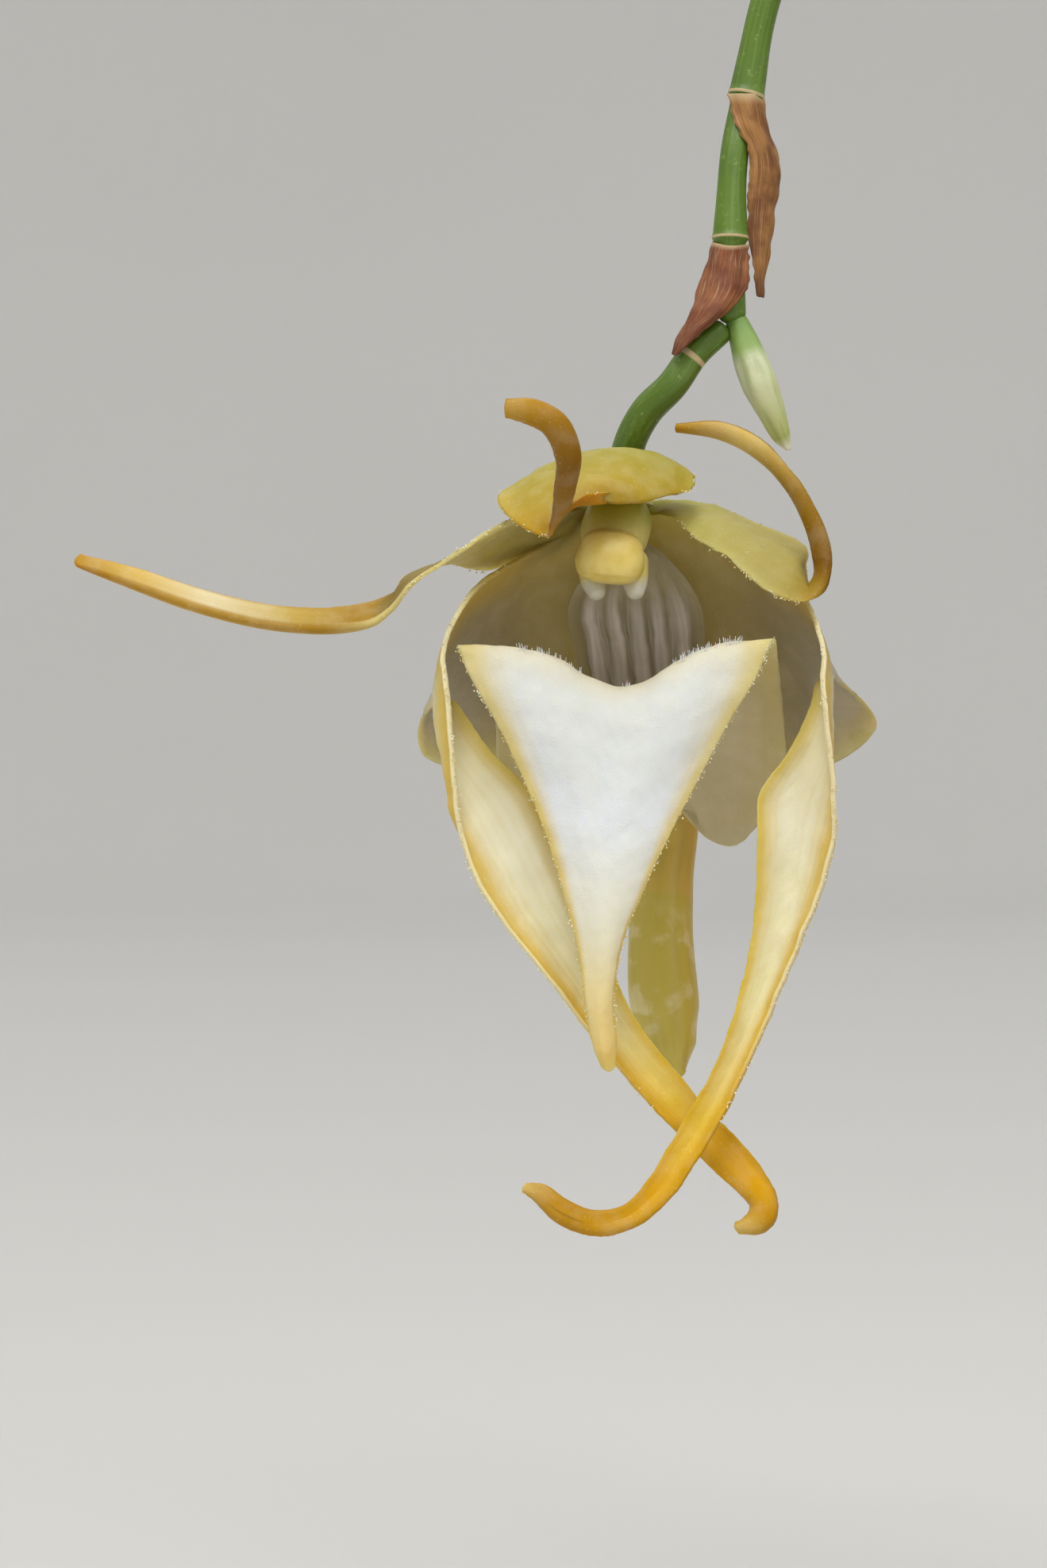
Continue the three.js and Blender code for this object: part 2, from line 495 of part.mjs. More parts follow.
const rightLateralRows = [
  [[2, 2, -3], [2.7, 2.2, -5.4], [5, 3.3, -9], [5.4, 5.9, -14.1], [5.3, 9.9, -20.7]],
  [[5.9, 0.6, -3.7], [8, 2.6, -6.4], [9.4, 5.4, -10.3], [10.1, 8.4, -15.4], [9.1, 11.4, -23.1]],
  [[9.5, -0.6, -5.3], [10.9, 1.8, -8], [12, 4.8, -11.7], [13.2, 8, -16.1], [12.7, 11, -23.1]],
  [[12.6, -2.6, -7.7], [13.6, -0.4, -10], [14.5, 2.6, -13], [15.5, 6, -16.6], [16.5, 9.6, -21.7]],
  [[14.1, -4.8, -10.4], [14.8, -2.8, -11.9], [15.5, 0, -13.7], [17.1, 4.6, -15.9], [19.8, 8, -18.9]],
  [[14.7, -7.4, -12.9], [15.2, -5, -14.1], [15.5, -2, -14.8], [16.1, 0.6, -15.2], [17.7, 4, -16.1]],
  [[14.6, -9.4, -16.1], [15.3, -7, -15.9], [15.4, -4.6, -15.7], [15.2, -2.6, -15.4], [14.7, -1.2, -15.3]],
  [[14.8, -10, -18.9], [15.3, -8, -18.9], [15.2, -5.6, -18.4], [14.6, -4.2, -17.7], [13.9, -3.6, -17.5]],
  [[15.2, -10.4, -21.9], [15.4, -8.8, -21.9], [14.8, -6.8, -21.5], [13.5, -6.2, -20.9], [12.1, -7, -20.9]],
  [[15.4, -10.6, -24.9], [15.3, -9, -24.9], [13.8, -7.4, -24.7], [11.8, -7.4, -24.3], [9.9, -9, -24]],
  [[15.4, -10.6, -27.5], [13.1, -7.6, -27.6], [9.7, -9.6, -27.6]],
  [[14.5, -10.6, -30.8], [12.5, -8, -30.9], [9.6, -9.6, -31.1]],
  [[13, -10.6, -34.7], [11.5, -8.6, -34.7], [9.3, -9.6, -34.4]],
  [[11.5, -10.6, -38.2], [10.3, -9, -38.2], [8.6, -10, -37.9]],
  [[10, -10.8, -41.8], [9, -9.6, -41.5], [7.6, -10.6, -41.2]],
  [[8.5, -11.2, -45], [7.5, -10.2, -44.8], [6.4, -11, -44.4]],
  [[6.9, -11.8, -48.2], [5.8, -11, -48], [4.6, -11.6, -47.5]],
  [[5.2, -12.2, -51], [4.1, -11.6, -50.6], [3.1, -12, -50]],
  [[3.1, -12.6, -54], [2.4, -12, -53.2], [1.6, -12.4, -52.4]],
  [[0.5, -13, -56.1], [0.1, -12.4, -55.3], [-0.3, -12.8, -54.5]],
  [[-2.5, -13, -56.8], [-2.6, -12.6, -55.9], [-2.7, -13, -54.9]],
  [[-5.4, -13, -55.8], [-5.1, -12.6, -55], [-4.7, -13, -54.1]],
  [[-7.1, -12.6, -54.2], [-6.6, -12.4, -53.6], [-6.3, -12.6, -53]],
  [[-7.9, -12.4, -53.6], [-7.9, -12.4, -53.2], [-7.6, -12.4, -52.9]],
];

const leftLateralRows = [
  [[-3.1, 1.7, -3.4], [-3, 2.2, -5.4], [-3.7, 3.3, -9], [-2.9, 5.9, -14.1], [0.2, 9.9, -20.7]],
  [[-4.6, 1.3, -4.5], [-6, 2.2, -6.4], [-7.3, 4.6, -10.3], [-7.3, 7, -15.5], [-4.7, 9.8, -22.5]],
  [[-7.8, -1.4, -5.9], [-9.3, 0.4, -8.3], [-10.1, 3.2, -12], [-10.1, 6, -16.1], [-9, 8.6, -21.5]],
  [[-10.8, -4, -7.8], [-11.8, -2, -9.9], [-12.6, 1, -13.5], [-13, 4.6, -17.2], [-12.5, 8, -22]],
  [[-12.7, -6, -10.1], [-13.5, -4, -12.4], [-14, -1.4, -14.8], [-14.9, 3, -17.3], [-15.5, 6.6, -21.2]],
  [[-13.8, -7.4, -12.8], [-14.3, -5.4, -14.4], [-14.5, -2.8, -15.7], [-14.8, -0.4, -16.7], [-16, 4, -18.8]],
  [[-13.6, -9.4, -16], [-14.4, -7.4, -16.1], [-14.5, -5, -16.7], [-14.1, -3.4, -17.1], [-13.4, -2.4, -16.7]],
  [[-13.3, -10, -18.9], [-14.3, -8.6, -18.9], [-14.1, -6.4, -19.1], [-13.1, -5.4, -18.9], [-11.9, -5.4, -18.5]],
  [[-13, -10.4, -21.9], [-13.8, -9.2, -21.9], [-12.8, -7.2, -22.1], [-11.4, -6.8, -21.4], [-10.2, -7.2, -20.9]],
  [[-12.7, -10.4, -25.2], [-13.3, -9.6, -25.2], [-11.1, -7.6, -25.1], [-9, -7.2, -24.3], [-7.3, -7.8, -23.8]],
  [[-12, -10.6, -29], [-9, -8.2, -29.1], [-4.9, -8.2, -28.5]],
  [[-10.1, -10.6, -32.6], [-7.1, -8.6, -32.3], [-3.6, -8.6, -31.7]],
  [[-7.8, -10.4, -35.6], [-5.4, -8.8, -35], [-2.6, -8.8, -34.4]],
  [[-5.4, -10.2, -38.5], [-3.5, -8.8, -37.8], [-1.2, -8.8, -37.1]],
  [[-3.2, -9.8, -41.5], [-1.6, -8.6, -40.8], [0.1, -8.8, -40]],
  [[-0.9, -9.4, -44.3], [0.4, -8.4, -43.4], [1.7, -8.6, -42.5]],
  [[1.7, -9, -47.3], [2.8, -8.2, -46.2], [3.9, -8.4, -45.1]],
  [[4.1, -8.8, -49.8], [5, -8.2, -48.7], [5.9, -8.4, -47.6]],
  [[6.5, -9, -52.3], [7.2, -8.6, -50.9], [8, -8.8, -49.6]],
  [[8.3, -9.6, -53.9], [9.1, -9.2, -52.8], [10, -9.4, -52]],
  [[9, -11, -54.7], [10.1, -10.8, -54.1], [11.1, -10.6, -54.1]],
  [[8.9, -12.4, -55.1], [10, -12.4, -55.3], [10.9, -12.2, -55.8]],
  [[8.5, -14, -55.3], [9.1, -14.2, -55.9], [9.7, -14, -56.6]],
  [[8, -15, -55.6], [7.8, -15.2, -56], [8.1, -15, -56.5]],
];

const lipRows = [
  [[3.6, 9.9, -25.4], [4.4, 9.6, -25.2], [5.2, 9.9, -25.4]],
  [[-3.1, 8.6, -26.8], [0.3, 9, -26], [3.9, 9.2, -25.1], [5.9, 9.1, -25.6], [6.8, 8.9, -27],
    [8.6, 8.6, -27.9], [10.4, 7.4, -26.4]],
  [[-9.4, 3.6, -22.5], [-3.5, 5, -21.8], [2.7, 5.6, -21.4], [8, 5, -21.8], [12.3, 4, -23.1]],
  [[-10.1, -1, -17.9], [-4.7, 0.2, -18.2], [1.1, 0.8, -18.4], [6.6, 0.2, -17.9], [12.1, -0.8, -18.4]],
  [[-11.9, -5, -14.3], [-6, -5.2, -15], [0, -4.4, -17], [5.7, -5, -14.3], [11.5, -4.6, -14.2]],
  [[-12.8, -7.8, -12.8], [-8.9, -8.6, -13.1], [-5.4, -9, -14], [-2.9, -8.8, -15.5], [-0.6, -8.6, -16.2],
    [1.5, -8.8, -15.7], [3.9, -9, -14.2], [6.6, -8.6, -13], [11, -7.8, -12.3]],
  [[-12, -9, -14.9], [-6, -10.4, -16.2], [-0.9, -10.2, -17.8], [4.2, -10.4, -16.2], [9.7, -9, -15.1]],
  [[-9.8, -9.8, -18.8], [-5.4, -11.2, -19.8], [-1.2, -11, -20.8], [3, -11.2, -19.8], [7.4, -9.8, -18.9]],
  [[-7.7, -10.4, -23.2], [-1.3, -11.8, -24.9], [5, -10.4, -23.4]],
  [[-6.1, -11, -27.2], [-1.4, -12.4, -28.7], [3, -11, -27.2]],
  [[-4.8, -11.6, -31.6], [-1.6, -12.8, -32.5], [1.1, -11.6, -31.2]],
  [[-3.8, -12.2, -35.5], [-1.9, -13, -36.1], [-0.5, -12.2, -35.3]],
  [[-3.3, -12.6, -39.2], [-2, -13.2, -39.6], [-1.1, -12.6, -39.1]],
  [[-2.8, -12.8, -42.3], [-1.9, -13.4, -42.6], [-0.9, -12.8, -42.4]],
  [[-2, -13, -44.3], [-1.5, -13.2, -44.6], [-1, -13, -44.3]],
];

// dry sheaths above the photographed stretch: open sleeves round the stalk

const sheathPlaces = [[0.12, 0.19], [0.26, 0.325], [0.39, 0.45], [0.51, 0.565]];
const sleeveRadius = stalkRadius + 0.75;
const sleeveFlare = 0.5;
const sleeveHalfTurn = 2.7;
const mouthSlant = 0.35;

function drySleeve([from, to]) {
  const route = spline(stalkRoute.map(vec));
  const surface = (u, v) => {
    const turn = THREE.MathUtils.lerp(-sleeveHalfTurn, sleeveHalfTurn, v);
    const mouth = to - (to - from) * mouthSlant * (1 - Math.cos(turn)) / 2;
    const t = THREE.MathUtils.lerp(from, mouth, u);
    const ahead = route.getTangent(t);
    const side = new THREE.Vector3(0, 1, 0).cross(ahead).normalize();
    const front = ahead.clone().cross(side);
    const radius = sleeveRadius + sleeveFlare * u * u;
    return route.getPoint(t)
      .addScaledVector(side, radius * Math.cos(turn)).addScaledVector(front, radius * Math.sin(turn));
  };
  return sheet(surface, 3, 8);
}

// the assembly

add(plant, 'clay_pot', clayPot(), '#b5653f', 0.85);
add(plant, 'potting_medium', pottingMedium(), '#5c4030', 0.95);
add(plant, 'stem', stem(), '#6f7a3a', 0.6);
leaves.forEach((each, k) => add(plant, `leaf_${k + 1}`, leaf(each, k), '#3f6a2c', 0.45));
roots.forEach((each, k) => add(plant, `root_${k + 1}`, root(each, 0), '#b9bcb0', 0.8));
add(flower, 'flower_stalk', limb(stalkRoute, stalkRadii, { sides: 8, steps: 3 }), '#5f7f3a', 0.5);
sheathPlaces.forEach((each, k) => add(flower, `dry_sheath_${k + 1}`, drySleeve(each), '#9a7c55', 0.8));
add(flower, 'upper_bract', blade(upperBractRows, 10, 6), '#a5825a', 0.8);
add(flower, 'lower_bract', blade(lowerBractRows, 10, 6), '#8c5a3c', 0.8);
const pedicel = limb(pedicelRoute, pedicelRadii, { sides: 10, steps: 3 });
add(flower, 'pedicel_and_ovary', cut(pedicel, columnBody(gap)), '#7d9a4a', 0.5);
add(flower, 'bud', limb(budRoute, budRadii, { sides: 8, steps: 3 }), '#cfd6a6', 0.5);
add(flower, 'column', column(), '#cfd0c0', 0.5);
add(flower, 'anther_cap', antherCap(0), '#e3c545', 0.4);
add(flower, 'spur', limb(spurRoute, spurRadii, { sides: 10, steps: 3 }), '#b5ab62', 0.5);
add(flower, 'dorsal_sepal', blade(dorsalSepalRows, 22, 6), '#d9c255', 0.5);
add(flower, 'left_petal', blade(leftPetalRows, 26, 4), '#d9c766', 0.5);
add(flower, 'right_petal', blade(rightPetalRows, 30, 4), '#d9c766', 0.5);
add(flower, 'left_lateral_sepal', blade(leftLateralRows, 32, 5), '#dccf86', 0.5);
add(flower, 'right_lateral_sepal', blade(rightLateralRows, 32, 5), '#dccf86', 0.5);
add(flower, 'lip', blade(lipRows, 26, 10), '#ece8cf', 0.5);

export default plant;
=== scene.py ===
import math

import bpy
import numpy as np
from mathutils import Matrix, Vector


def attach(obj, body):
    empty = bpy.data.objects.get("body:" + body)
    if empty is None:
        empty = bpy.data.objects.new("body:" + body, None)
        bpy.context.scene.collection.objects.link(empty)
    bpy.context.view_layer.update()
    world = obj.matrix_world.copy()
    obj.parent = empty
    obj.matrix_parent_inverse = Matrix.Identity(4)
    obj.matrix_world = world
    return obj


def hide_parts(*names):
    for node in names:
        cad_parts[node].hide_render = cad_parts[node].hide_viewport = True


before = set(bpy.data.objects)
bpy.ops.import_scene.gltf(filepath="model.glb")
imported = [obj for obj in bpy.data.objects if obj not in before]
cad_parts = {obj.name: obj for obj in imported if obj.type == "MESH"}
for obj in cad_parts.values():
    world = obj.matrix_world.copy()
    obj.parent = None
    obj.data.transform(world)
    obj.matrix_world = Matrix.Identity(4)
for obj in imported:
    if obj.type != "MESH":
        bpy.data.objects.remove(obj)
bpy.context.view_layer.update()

MM = 0.001


# The pot is hand-thrown red clay, fired unglazed, with a thick rim band and three
# drainage holes in its floor. Watering has left pale lime on the wall and some green.
pot_segments = 144
pot_profile = [
    (0, 0), (20, 0), (35.6, 0), (37.1, 0.3), (38, 1.4), (41.1, 16), (44.2, 31), (47.3, 47),
    (50.4, 62), (53.2, 76.6), (53.9, 77.8), (55.2, 78), (56.3, 78.5), (56.7, 80), (56.8, 84),
    (56.9, 90), (57, 95.6), (56.7, 97.2), (55.7, 97.9), (53.8, 98), (52.4, 97.7), (51.4, 96.6),
    (50.4, 90), (48.5, 78), (45, 60), (40, 34), (35.6, 9), (34.4, 7.2), (30, 7), (15, 7), (0, 7),
]
profile_step = 3.0
wall_radius = 37
hand_rings = 0.09
pot_uneven = 0.1
drain_holes = 3
drain_radius = 4.5
drain_ring = 20
drain_turn = 0.5
clay_red = (181, 103, 68)
clay_dark = (138, 71, 46)
clay_pale = (205, 138, 100)
lime = (214, 196, 176)
algae = (112, 116, 74)


def srgb(colour):
    """A display colour, 0 to 255 a channel, as the renderer's linear one."""
    share = np.array(colour) / 255
    linear = np.where(share < 0.04045, share / 12.92, ((share + 0.055) / 1.055) ** 2.4)
    return (*map(float, linear), 1.0)


class Wire:
    """One socket in a node tree; arithmetic on it adds Math nodes."""

    def __init__(self, tree, socket):
        self.tree = tree
        self.socket = socket

    def math(self, operation, first, second=0.0, clamp=False):
        settings = {"operation": operation, "use_clamp": clamp}
        return node(self.tree, "ShaderNodeMath", settings, {0: first, 1: second})

    def __add__(self, other):
        return self.math("ADD", self, other)

    __radd__ = __add__

    def __sub__(self, other):
        return self.math("SUBTRACT", self, other)

    def __rsub__(self, other):
        return self.math("SUBTRACT", other, self)

    def __mul__(self, other):
        return self.math("MULTIPLY", self, other)

    def __pow__(self, power):
        return self.math("POWER", self, power)

    def size(self):
        return self.math("ABSOLUTE", self)

    def wave(self):
        return self.math("SINE", self)

    def held(self):
        """The value kept between 0 and 1."""
        return self.math("ADD", self, 0.0, clamp=True)

    def over(self, start, end):
        """0 below start, rising smoothly to 1 at end; start may be the higher one."""
        settings = {"interpolation_type": "SMOOTHSTEP"}
        sockets = {"Value": self, "From Min": start, "From Max": end}
        return node(self.tree, "ShaderNodeMapRange", settings, sockets)


def node(tree, kind, settings, sockets, out=0):
    """Adds a node: its settings first, then its sockets' values and links. Gives an output."""
    made = tree.nodes.new(kind)
    for name, value in settings.items():
        if name == "stops":
            stops = made.color_ramp.elements
            stops.remove(stops[1])
            stops[0].position, stops[0].color = value[0]
            for position, colour in value[1:]:
                stops.new(position).color = colour
        else:
            setattr(made, name, value)
    for name, value in sockets.items():
        if isinstance(value, Wire):
            tree.links.new(value.socket, made.inputs[name])
        else:
            made.inputs[name].default_value = value
    return Wire(tree, made.outputs[out]) if made.outputs else None


class Finish:
    """A material being painted: its node tree and the colour it has so far."""

    def __init__(self, name, colour):
        self.material = bpy.data.materials.new(name)
        self.material.use_nodes = True
        self.tree = self.material.node_tree
        self.tree.nodes.clear()
        self.spot = self.node("ShaderNodeTexCoord", {}, {}, "Object")
        self.colour = srgb(colour)

    def node(self, kind, settings, sockets, out=0):
        return node(self.tree, kind, settings, sockets, out)

    def part(self, vector, way):
        return self.node("ShaderNodeSeparateXYZ", {}, {0: vector}, way)

    def place(self, way):
        """The piece's own place attribute: 0 across or around, 1 along, 2 front or back."""
        return self.part(self.node("ShaderNodeAttribute", {"attribute_name": "place"}, {}, "Vector"), way)

    def noise(self, feature, detail=3.0, distortion=0.0):
        """Cloudy unevenness from 0 to 1, its features that many millimetres wide."""
        sockets = {"Vector": self.spot, "Scale": 1 / (feature * MM), "Detail": detail,
                   "Distortion": distortion}
        return self.node("ShaderNodeTexNoise", {}, sockets)

    def fibres(self, across_count, along_count):
        """Uneven lengthwise streaks from 0 to 1, about so many across and along the piece."""
        lines = {0: self.place(0) * across_count, 1: self.place(1) * along_count, 2: self.place(2) * 9}
        vector = self.node("ShaderNodeCombineXYZ", {}, lines)
        return self.node("ShaderNodeTexNoise", {}, {"Vector": vector, "Scale": 1.0, "Detail": 3.0})

    def ramp(self, stops, share):
        """A colour that changes through the stops, each a share and a display colour."""
        stops = [(at, srgb(colour)) for at, colour in stops]
        return self.node("ShaderNodeValToRGB", {"stops": stops}, {"Fac": share})

    def paint(self, share, colour):
        """Lays a colour over the one so far."""
        above = colour if isinstance(colour, Wire) else srgb(colour)
        settings = {"data_type": "RGBA", "blend_type": "MIX"}
        self.colour = self.node("ShaderNodeMix", settings, {0: share, 6: self.colour, 7: above}, 2)

    def done(self, roughness, height, depth, **sockets):
        """The finished material, with a bump of that depth in millimetres."""
        bump = self.node("ShaderNodeBump", {}, {"Distance": depth * MM, "Height": height})
        sockets = {"Base Color": self.colour, "Roughness": roughness, "Normal": bump,
                   **{name.replace("_", " "): value for name, value in sockets.items()}}
        shader = self.node("ShaderNodeBsdfPrincipled", {}, sockets)
        self.node("ShaderNodeOutputMaterial", {}, {"Surface": shader})
        return self.material


def ripple(points, wavelength, seed, waves=16):
    """Smooth seeded unevenness, about -1 to 1, over points in millimetres."""
    random = np.random.default_rng(seed)
    ways = random.normal(size=(waves, 3))
    ways /= np.linalg.norm(ways, axis=1, keepdims=True)
    ways *= 2 * np.pi / wavelength * random.uniform(0.6, 1.5, (waves, 1))
    starts = random.uniform(0, 2 * np.pi, waves)
    return np.sin(points @ ways.T + starts).sum(-1) / np.sqrt(waves)


def piece(name, shells, finish):
    """One smooth object from closed shells of points in millimetres, faces and places."""
    mesh = bpy.data.meshes.new(name)
    starts = np.cumsum([0, *(len(points) for points, _, _ in shells)])
    points = np.concatenate([points for points, _, _ in shells])
    places = np.concatenate([places for _, _, places in shells])
    faces = [[k + int(start) for k in face]
             for start, (_, faces, _) in zip(starts, shells) for face in faces]
    mesh.from_pydata((points * MM).tolist(), [], faces)
    mesh.attributes.new("place", "FLOAT_VECTOR", "POINT").data.foreach_set("vector", places.ravel())
    mesh.shade_smooth()
    mesh.materials.append(finish)
    made = bpy.data.objects.new(name, mesh)
    bpy.context.scene.collection.objects.link(made)
    return made


def lathe(profile, segments):
    """A closed shell turned round +Z; the profile starts and ends on the axis."""
    rings = np.array(profile[1:-1], float)
    turn = np.linspace(0, 2 * np.pi, segments, endpoint=False)
    points = np.stack([rings[:, :1] * np.cos(turn), rings[:, :1] * np.sin(turn),
                       rings[:, 1:] + 0 * turn], -1).reshape(-1, 3)
    poles = [(0, 0, profile[0][1]), (0, 0, profile[-1][1])]
    first, last = len(points), len(points) + 1
    faces = []
    for ring in range(len(rings) - 1):
        for s in range(segments):
            a = ring * segments + s
            b = ring * segments + (s + 1) % segments
            faces.append([a, b, b + segments, a + segments])
    top = (len(rings) - 1) * segments
    for s in range(segments):
        after = (s + 1) % segments
        faces += [[first, after, s], [last, top + s, top + after]]
    points = np.concatenate([points, poles])
    return points, faces, np.zeros_like(points)


def fine_profile(profile, step):
    """More points along a profile's straight runs."""
    made = [profile[0]]
    for before, after in zip(profile, profile[1:]):
        parts = max(1, int(math.dist(before, after) / step))
        made += [tuple(np.array(before) + (np.array(after) - before) * k / parts)
                 for k in range(1, parts + 1)]
    return made


def applied(made):
    """The object with its modifiers made plain mesh."""
    evaluated = made.evaluated_get(bpy.context.evaluated_depsgraph_get())
    mesh = bpy.data.meshes.new_from_object(evaluated)
    made.modifiers.clear()
    made.data = mesh
    return made


clay = Finish("terracotta", clay_red)
height = clay.part(clay.spot, 2)
grain = clay.noise(0.9, 4)
near_rim = height.over(0.060, 0.094)
near_foot = height.over(0.022, 0.004)
clay.paint(clay.noise(22, 4).over(0.25, 0.8) * 0.7, clay_dark)
clay.paint(grain.over(0.56, 0.74) * 0.35, clay_pale)
clay.paint(clay.noise(16, 6, 0.2).over(0.42, 0.7) * (near_rim * 0.36 + near_foot * 0.4 + 0.14), lime)
clay.paint(clay.noise(15, 4).over(0.55, 0.72) * near_foot * 0.55, algae)
clay_skin = clay.done(0.9, grain * 0.6 + clay.noise(0.25, 2) * 0.4, 0.25)
points, faces, places = lathe(fine_profile(pot_profile, profile_step), pot_segments)
radius = np.hypot(points[:, 0], points[:, 1])
outside = (radius > wall_radius) & (points[:, 2] > 2)
rings = hand_rings * np.sin(points[:, 2] * 2.1 + 0.4 * ripple(points, 40, 3))
uneven = pot_uneven * ripple(points, 30, 4) + np.where(outside, rings, 0)
points[:, :2] *= (1 + uneven / np.maximum(radius, 20))[:, None]
clay_pot = piece("clay_pot_dressed", [(points, faces, places)], clay_skin)
drills = []
for k in range(drain_holes):
    turn = drain_turn + 2 * np.pi * k / drain_holes
    shell, sides, spots = lathe([(0, -3), (drain_radius, -3), (drain_radius, 10), (0, 10)], 32)
    shell += (drain_ring * np.cos(turn), drain_ring * np.sin(turn), 0)
    drills.append((shell, sides, spots))
drill = piece("drain_drill", drills, clay_skin)
hole = clay_pot.modifiers.new("drainage", "BOOLEAN")
hole.object = drill
hole.solver = "EXACT"
applied(clay_pot)
bpy.data.objects.remove(drill)
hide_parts("clay_pot")
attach(clay_pot, "root")


# The medium is fir bark: coarse chips lie over a plug of fine bark that fills the pot,
# with crumbs between them. The chips keep the CAD's seeded places.
medium_top = 86
plug_radius = 49.4
chip_count = 38
chip_seed = 11
chip_reach = 35.5
chip_cuts = 9
crumb_seed = 4
bark_brown = (112, 74, 50)
bark_dark = (58, 36, 25)
bark_pale = (158, 118, 86)
bark_red = (150, 98, 62)
bark_grey = (122, 106, 90)
crumb_density = 90000.0
crumb_least = 1.6
crumb_most = 5.5
crumb_flatness = 0.45


def block(cuts):
    """A closed cube shell from -1 to 1 with each face cut into cuts squares."""
    step = np.linspace(-1, 1, cuts + 1)
    one, two = (side.ravel() for side in np.meshgrid(step, step, indexing="ij"))
    grid = np.arange((cuts + 1) ** 2).reshape(cuts + 1, cuts + 1)
    square = np.stack([grid[:-1, :-1], grid[1:, :-1], grid[1:, 1:], grid[:-1, 1:]], -1).reshape(-1, 4)
    points, faces = [], []
    for axis in range(3):
        for end in (-1, 1):
            side = np.empty((len(one), 3))
            side[:, axis] = end
            side[:, (axis + 1) % 3] = one
            side[:, (axis + 2) % 3] = two
            faces.append((square if end > 0 else square[:, ::-1]) + len(one) * len(points))
            points.append(side)
    points, number = np.unique(np.round(np.concatenate(points), 6), axis=0, return_inverse=True)
    return points, number.reshape(-1)[np.concatenate(faces)]


def seeded(seed):
    """The CAD's own random numbers between low and high."""
    state = seed

    def draw(low, high):
        nonlocal state
        state = (state * 1664525 + 1013904223) % 4294967296
        return low + (high - low) * state / 4294967296

    return draw


def turned(points, x, y, z):
    """Points turned about X, then Y, then Z."""
    for axis, angle in enumerate((x, y, z)):
        one, two = (axis + 1) % 3, (axis + 2) % 3
        first = points[:, one] * math.cos(angle) - points[:, two] * math.sin(angle)
        second = points[:, one] * math.sin(angle) + points[:, two] * math.cos(angle)
        points = points.copy()
        points[:, one] = first
        points[:, two] = second
    return points


def bark_chip(draw, seed):
    """A rough chip of layered bark, its corners nudged."""
    cube, faces = block(chip_cuts)
    size = np.array([draw(18, 27), draw(11, 16), draw(4, 6.5)])
    nudge = [np.array([draw(-2, 2), draw(-2, 2), draw(-1, 1)]) for _ in range(8)]
    rounded = cube / (np.abs(cube) ** 9).sum(1, keepdims=True) ** (1 / 9)
    points = rounded * size / 2
    for corner in range(8):
        signs = np.array([1 if corner >> axis & 1 else -1 for axis in range(3)])
        points = points + nudge[corner] * ((1 + rounded * signs) / 2).prod(1, keepdims=True)
    out = rounded / np.linalg.norm(rounded, axis=1, keepdims=True)
    grooves = 0.45 * ripple(points * (0.35, 1, 1), 3.4, seed) + 0.18 * ripple(points, 1.5, seed + 50)
    points = points + out * grooves[:, None] * (0.8, 0.8, 0.6)
    ledge = 0.35 * np.sin(points[:, 2] * 5) * (1 - np.abs(rounded[:, 2]) ** 4)
    points[:, :2] += out[:, :2] * ledge[:, None]
    turn = draw(0, 2 * math.pi)
    ring = chip_reach * math.sqrt(draw(0, 1))
    points = turned(points, draw(-0.3, 0.3), draw(-0.3, 0.3), draw(0, 2 * math.pi))
    points += (ring * math.cos(turn), ring * math.sin(turn), medium_top + draw(-0.6, 1.6))
    return points, faces.tolist(), np.zeros_like(points)


def random_number(tree, low, high, seed):
    return node(tree, "FunctionNodeRandomValue", {"data_type": "FLOAT"}, {2: low, 3: high, 8: seed}, 1)


def random_vector(tree, low, high, seed):
    return node(tree, "FunctionNodeRandomValue", {"data_type": "FLOAT_VECTOR"}, {0: low, 1: high, 8: seed})


def grown(name, mesh, finish, grow, inputs):
    """The mesh with a Geometry Nodes tree run on it, made plain. grow gets the tree, its
    geometry and its named inputs, and gives the instances."""
    tree = bpy.data.node_groups.new(name, "GeometryNodeTree")
    for way in ("INPUT", "OUTPUT"):
        tree.interface.new_socket("Geometry", in_out=way, socket_type="NodeSocketGeometry")
    made = bpy.data.objects.new(name, mesh)
    bpy.context.scene.collection.objects.link(made)
    modifier = made.modifiers.new("grow", "NODES")
    identifiers = {}
    for label, value in inputs.items():
        kind = "NodeSocketInt" if isinstance(value, int) else "NodeSocketFloat"
        identifiers[tree.interface.new_socket(label, in_out="INPUT", socket_type=kind).identifier] = value
    inlet = tree.nodes.new("NodeGroupInput")
    copies = grow(tree, *(Wire(tree, inlet.outputs[label]) for label in ("Geometry", *inputs)))
    solid = node(tree, "GeometryNodeRealizeInstances", {}, {0: copies})
    smooth = node(tree, "GeometryNodeSetShadeSmooth", {}, {0: solid})
    painted = node(tree, "GeometryNodeSetMaterial", {}, {0: smooth, "Material": finish})
    node(tree, "NodeGroupOutput", {}, {0: painted})
    modifier.node_group = tree
    for identifier, value in identifiers.items():
        modifier[identifier] = value
    return applied(made)


def strewn(tree, ground, density, low, high, flatness, draw):
    """Rough flattened crumbs scattered over the ground."""
    spots = node(tree, "GeometryNodeDistributePointsOnFaces", {},
                 {"Mesh": ground, "Density": density, "Seed": draw})
    crumb = node(tree, "GeometryNodeMeshIcoSphere", {}, {"Radius": 0.5, "Subdivisions": 2})
    spin = random_vector(tree, (-0.5, -0.5, 0), (0.5, 0.5, 6.3), draw)
    length = random_number(tree, low, high, draw + 1)
    width = length * random_number(tree, 0.5, 0.9, draw + 2)
    scale = node(tree, "ShaderNodeCombineXYZ", {}, {0: length, 1: width, 2: length * flatness})
    return node(tree, "GeometryNodeInstanceOnPoints", {},
                {"Points": spots, "Instance": crumb, "Rotation": spin, "Scale": scale})


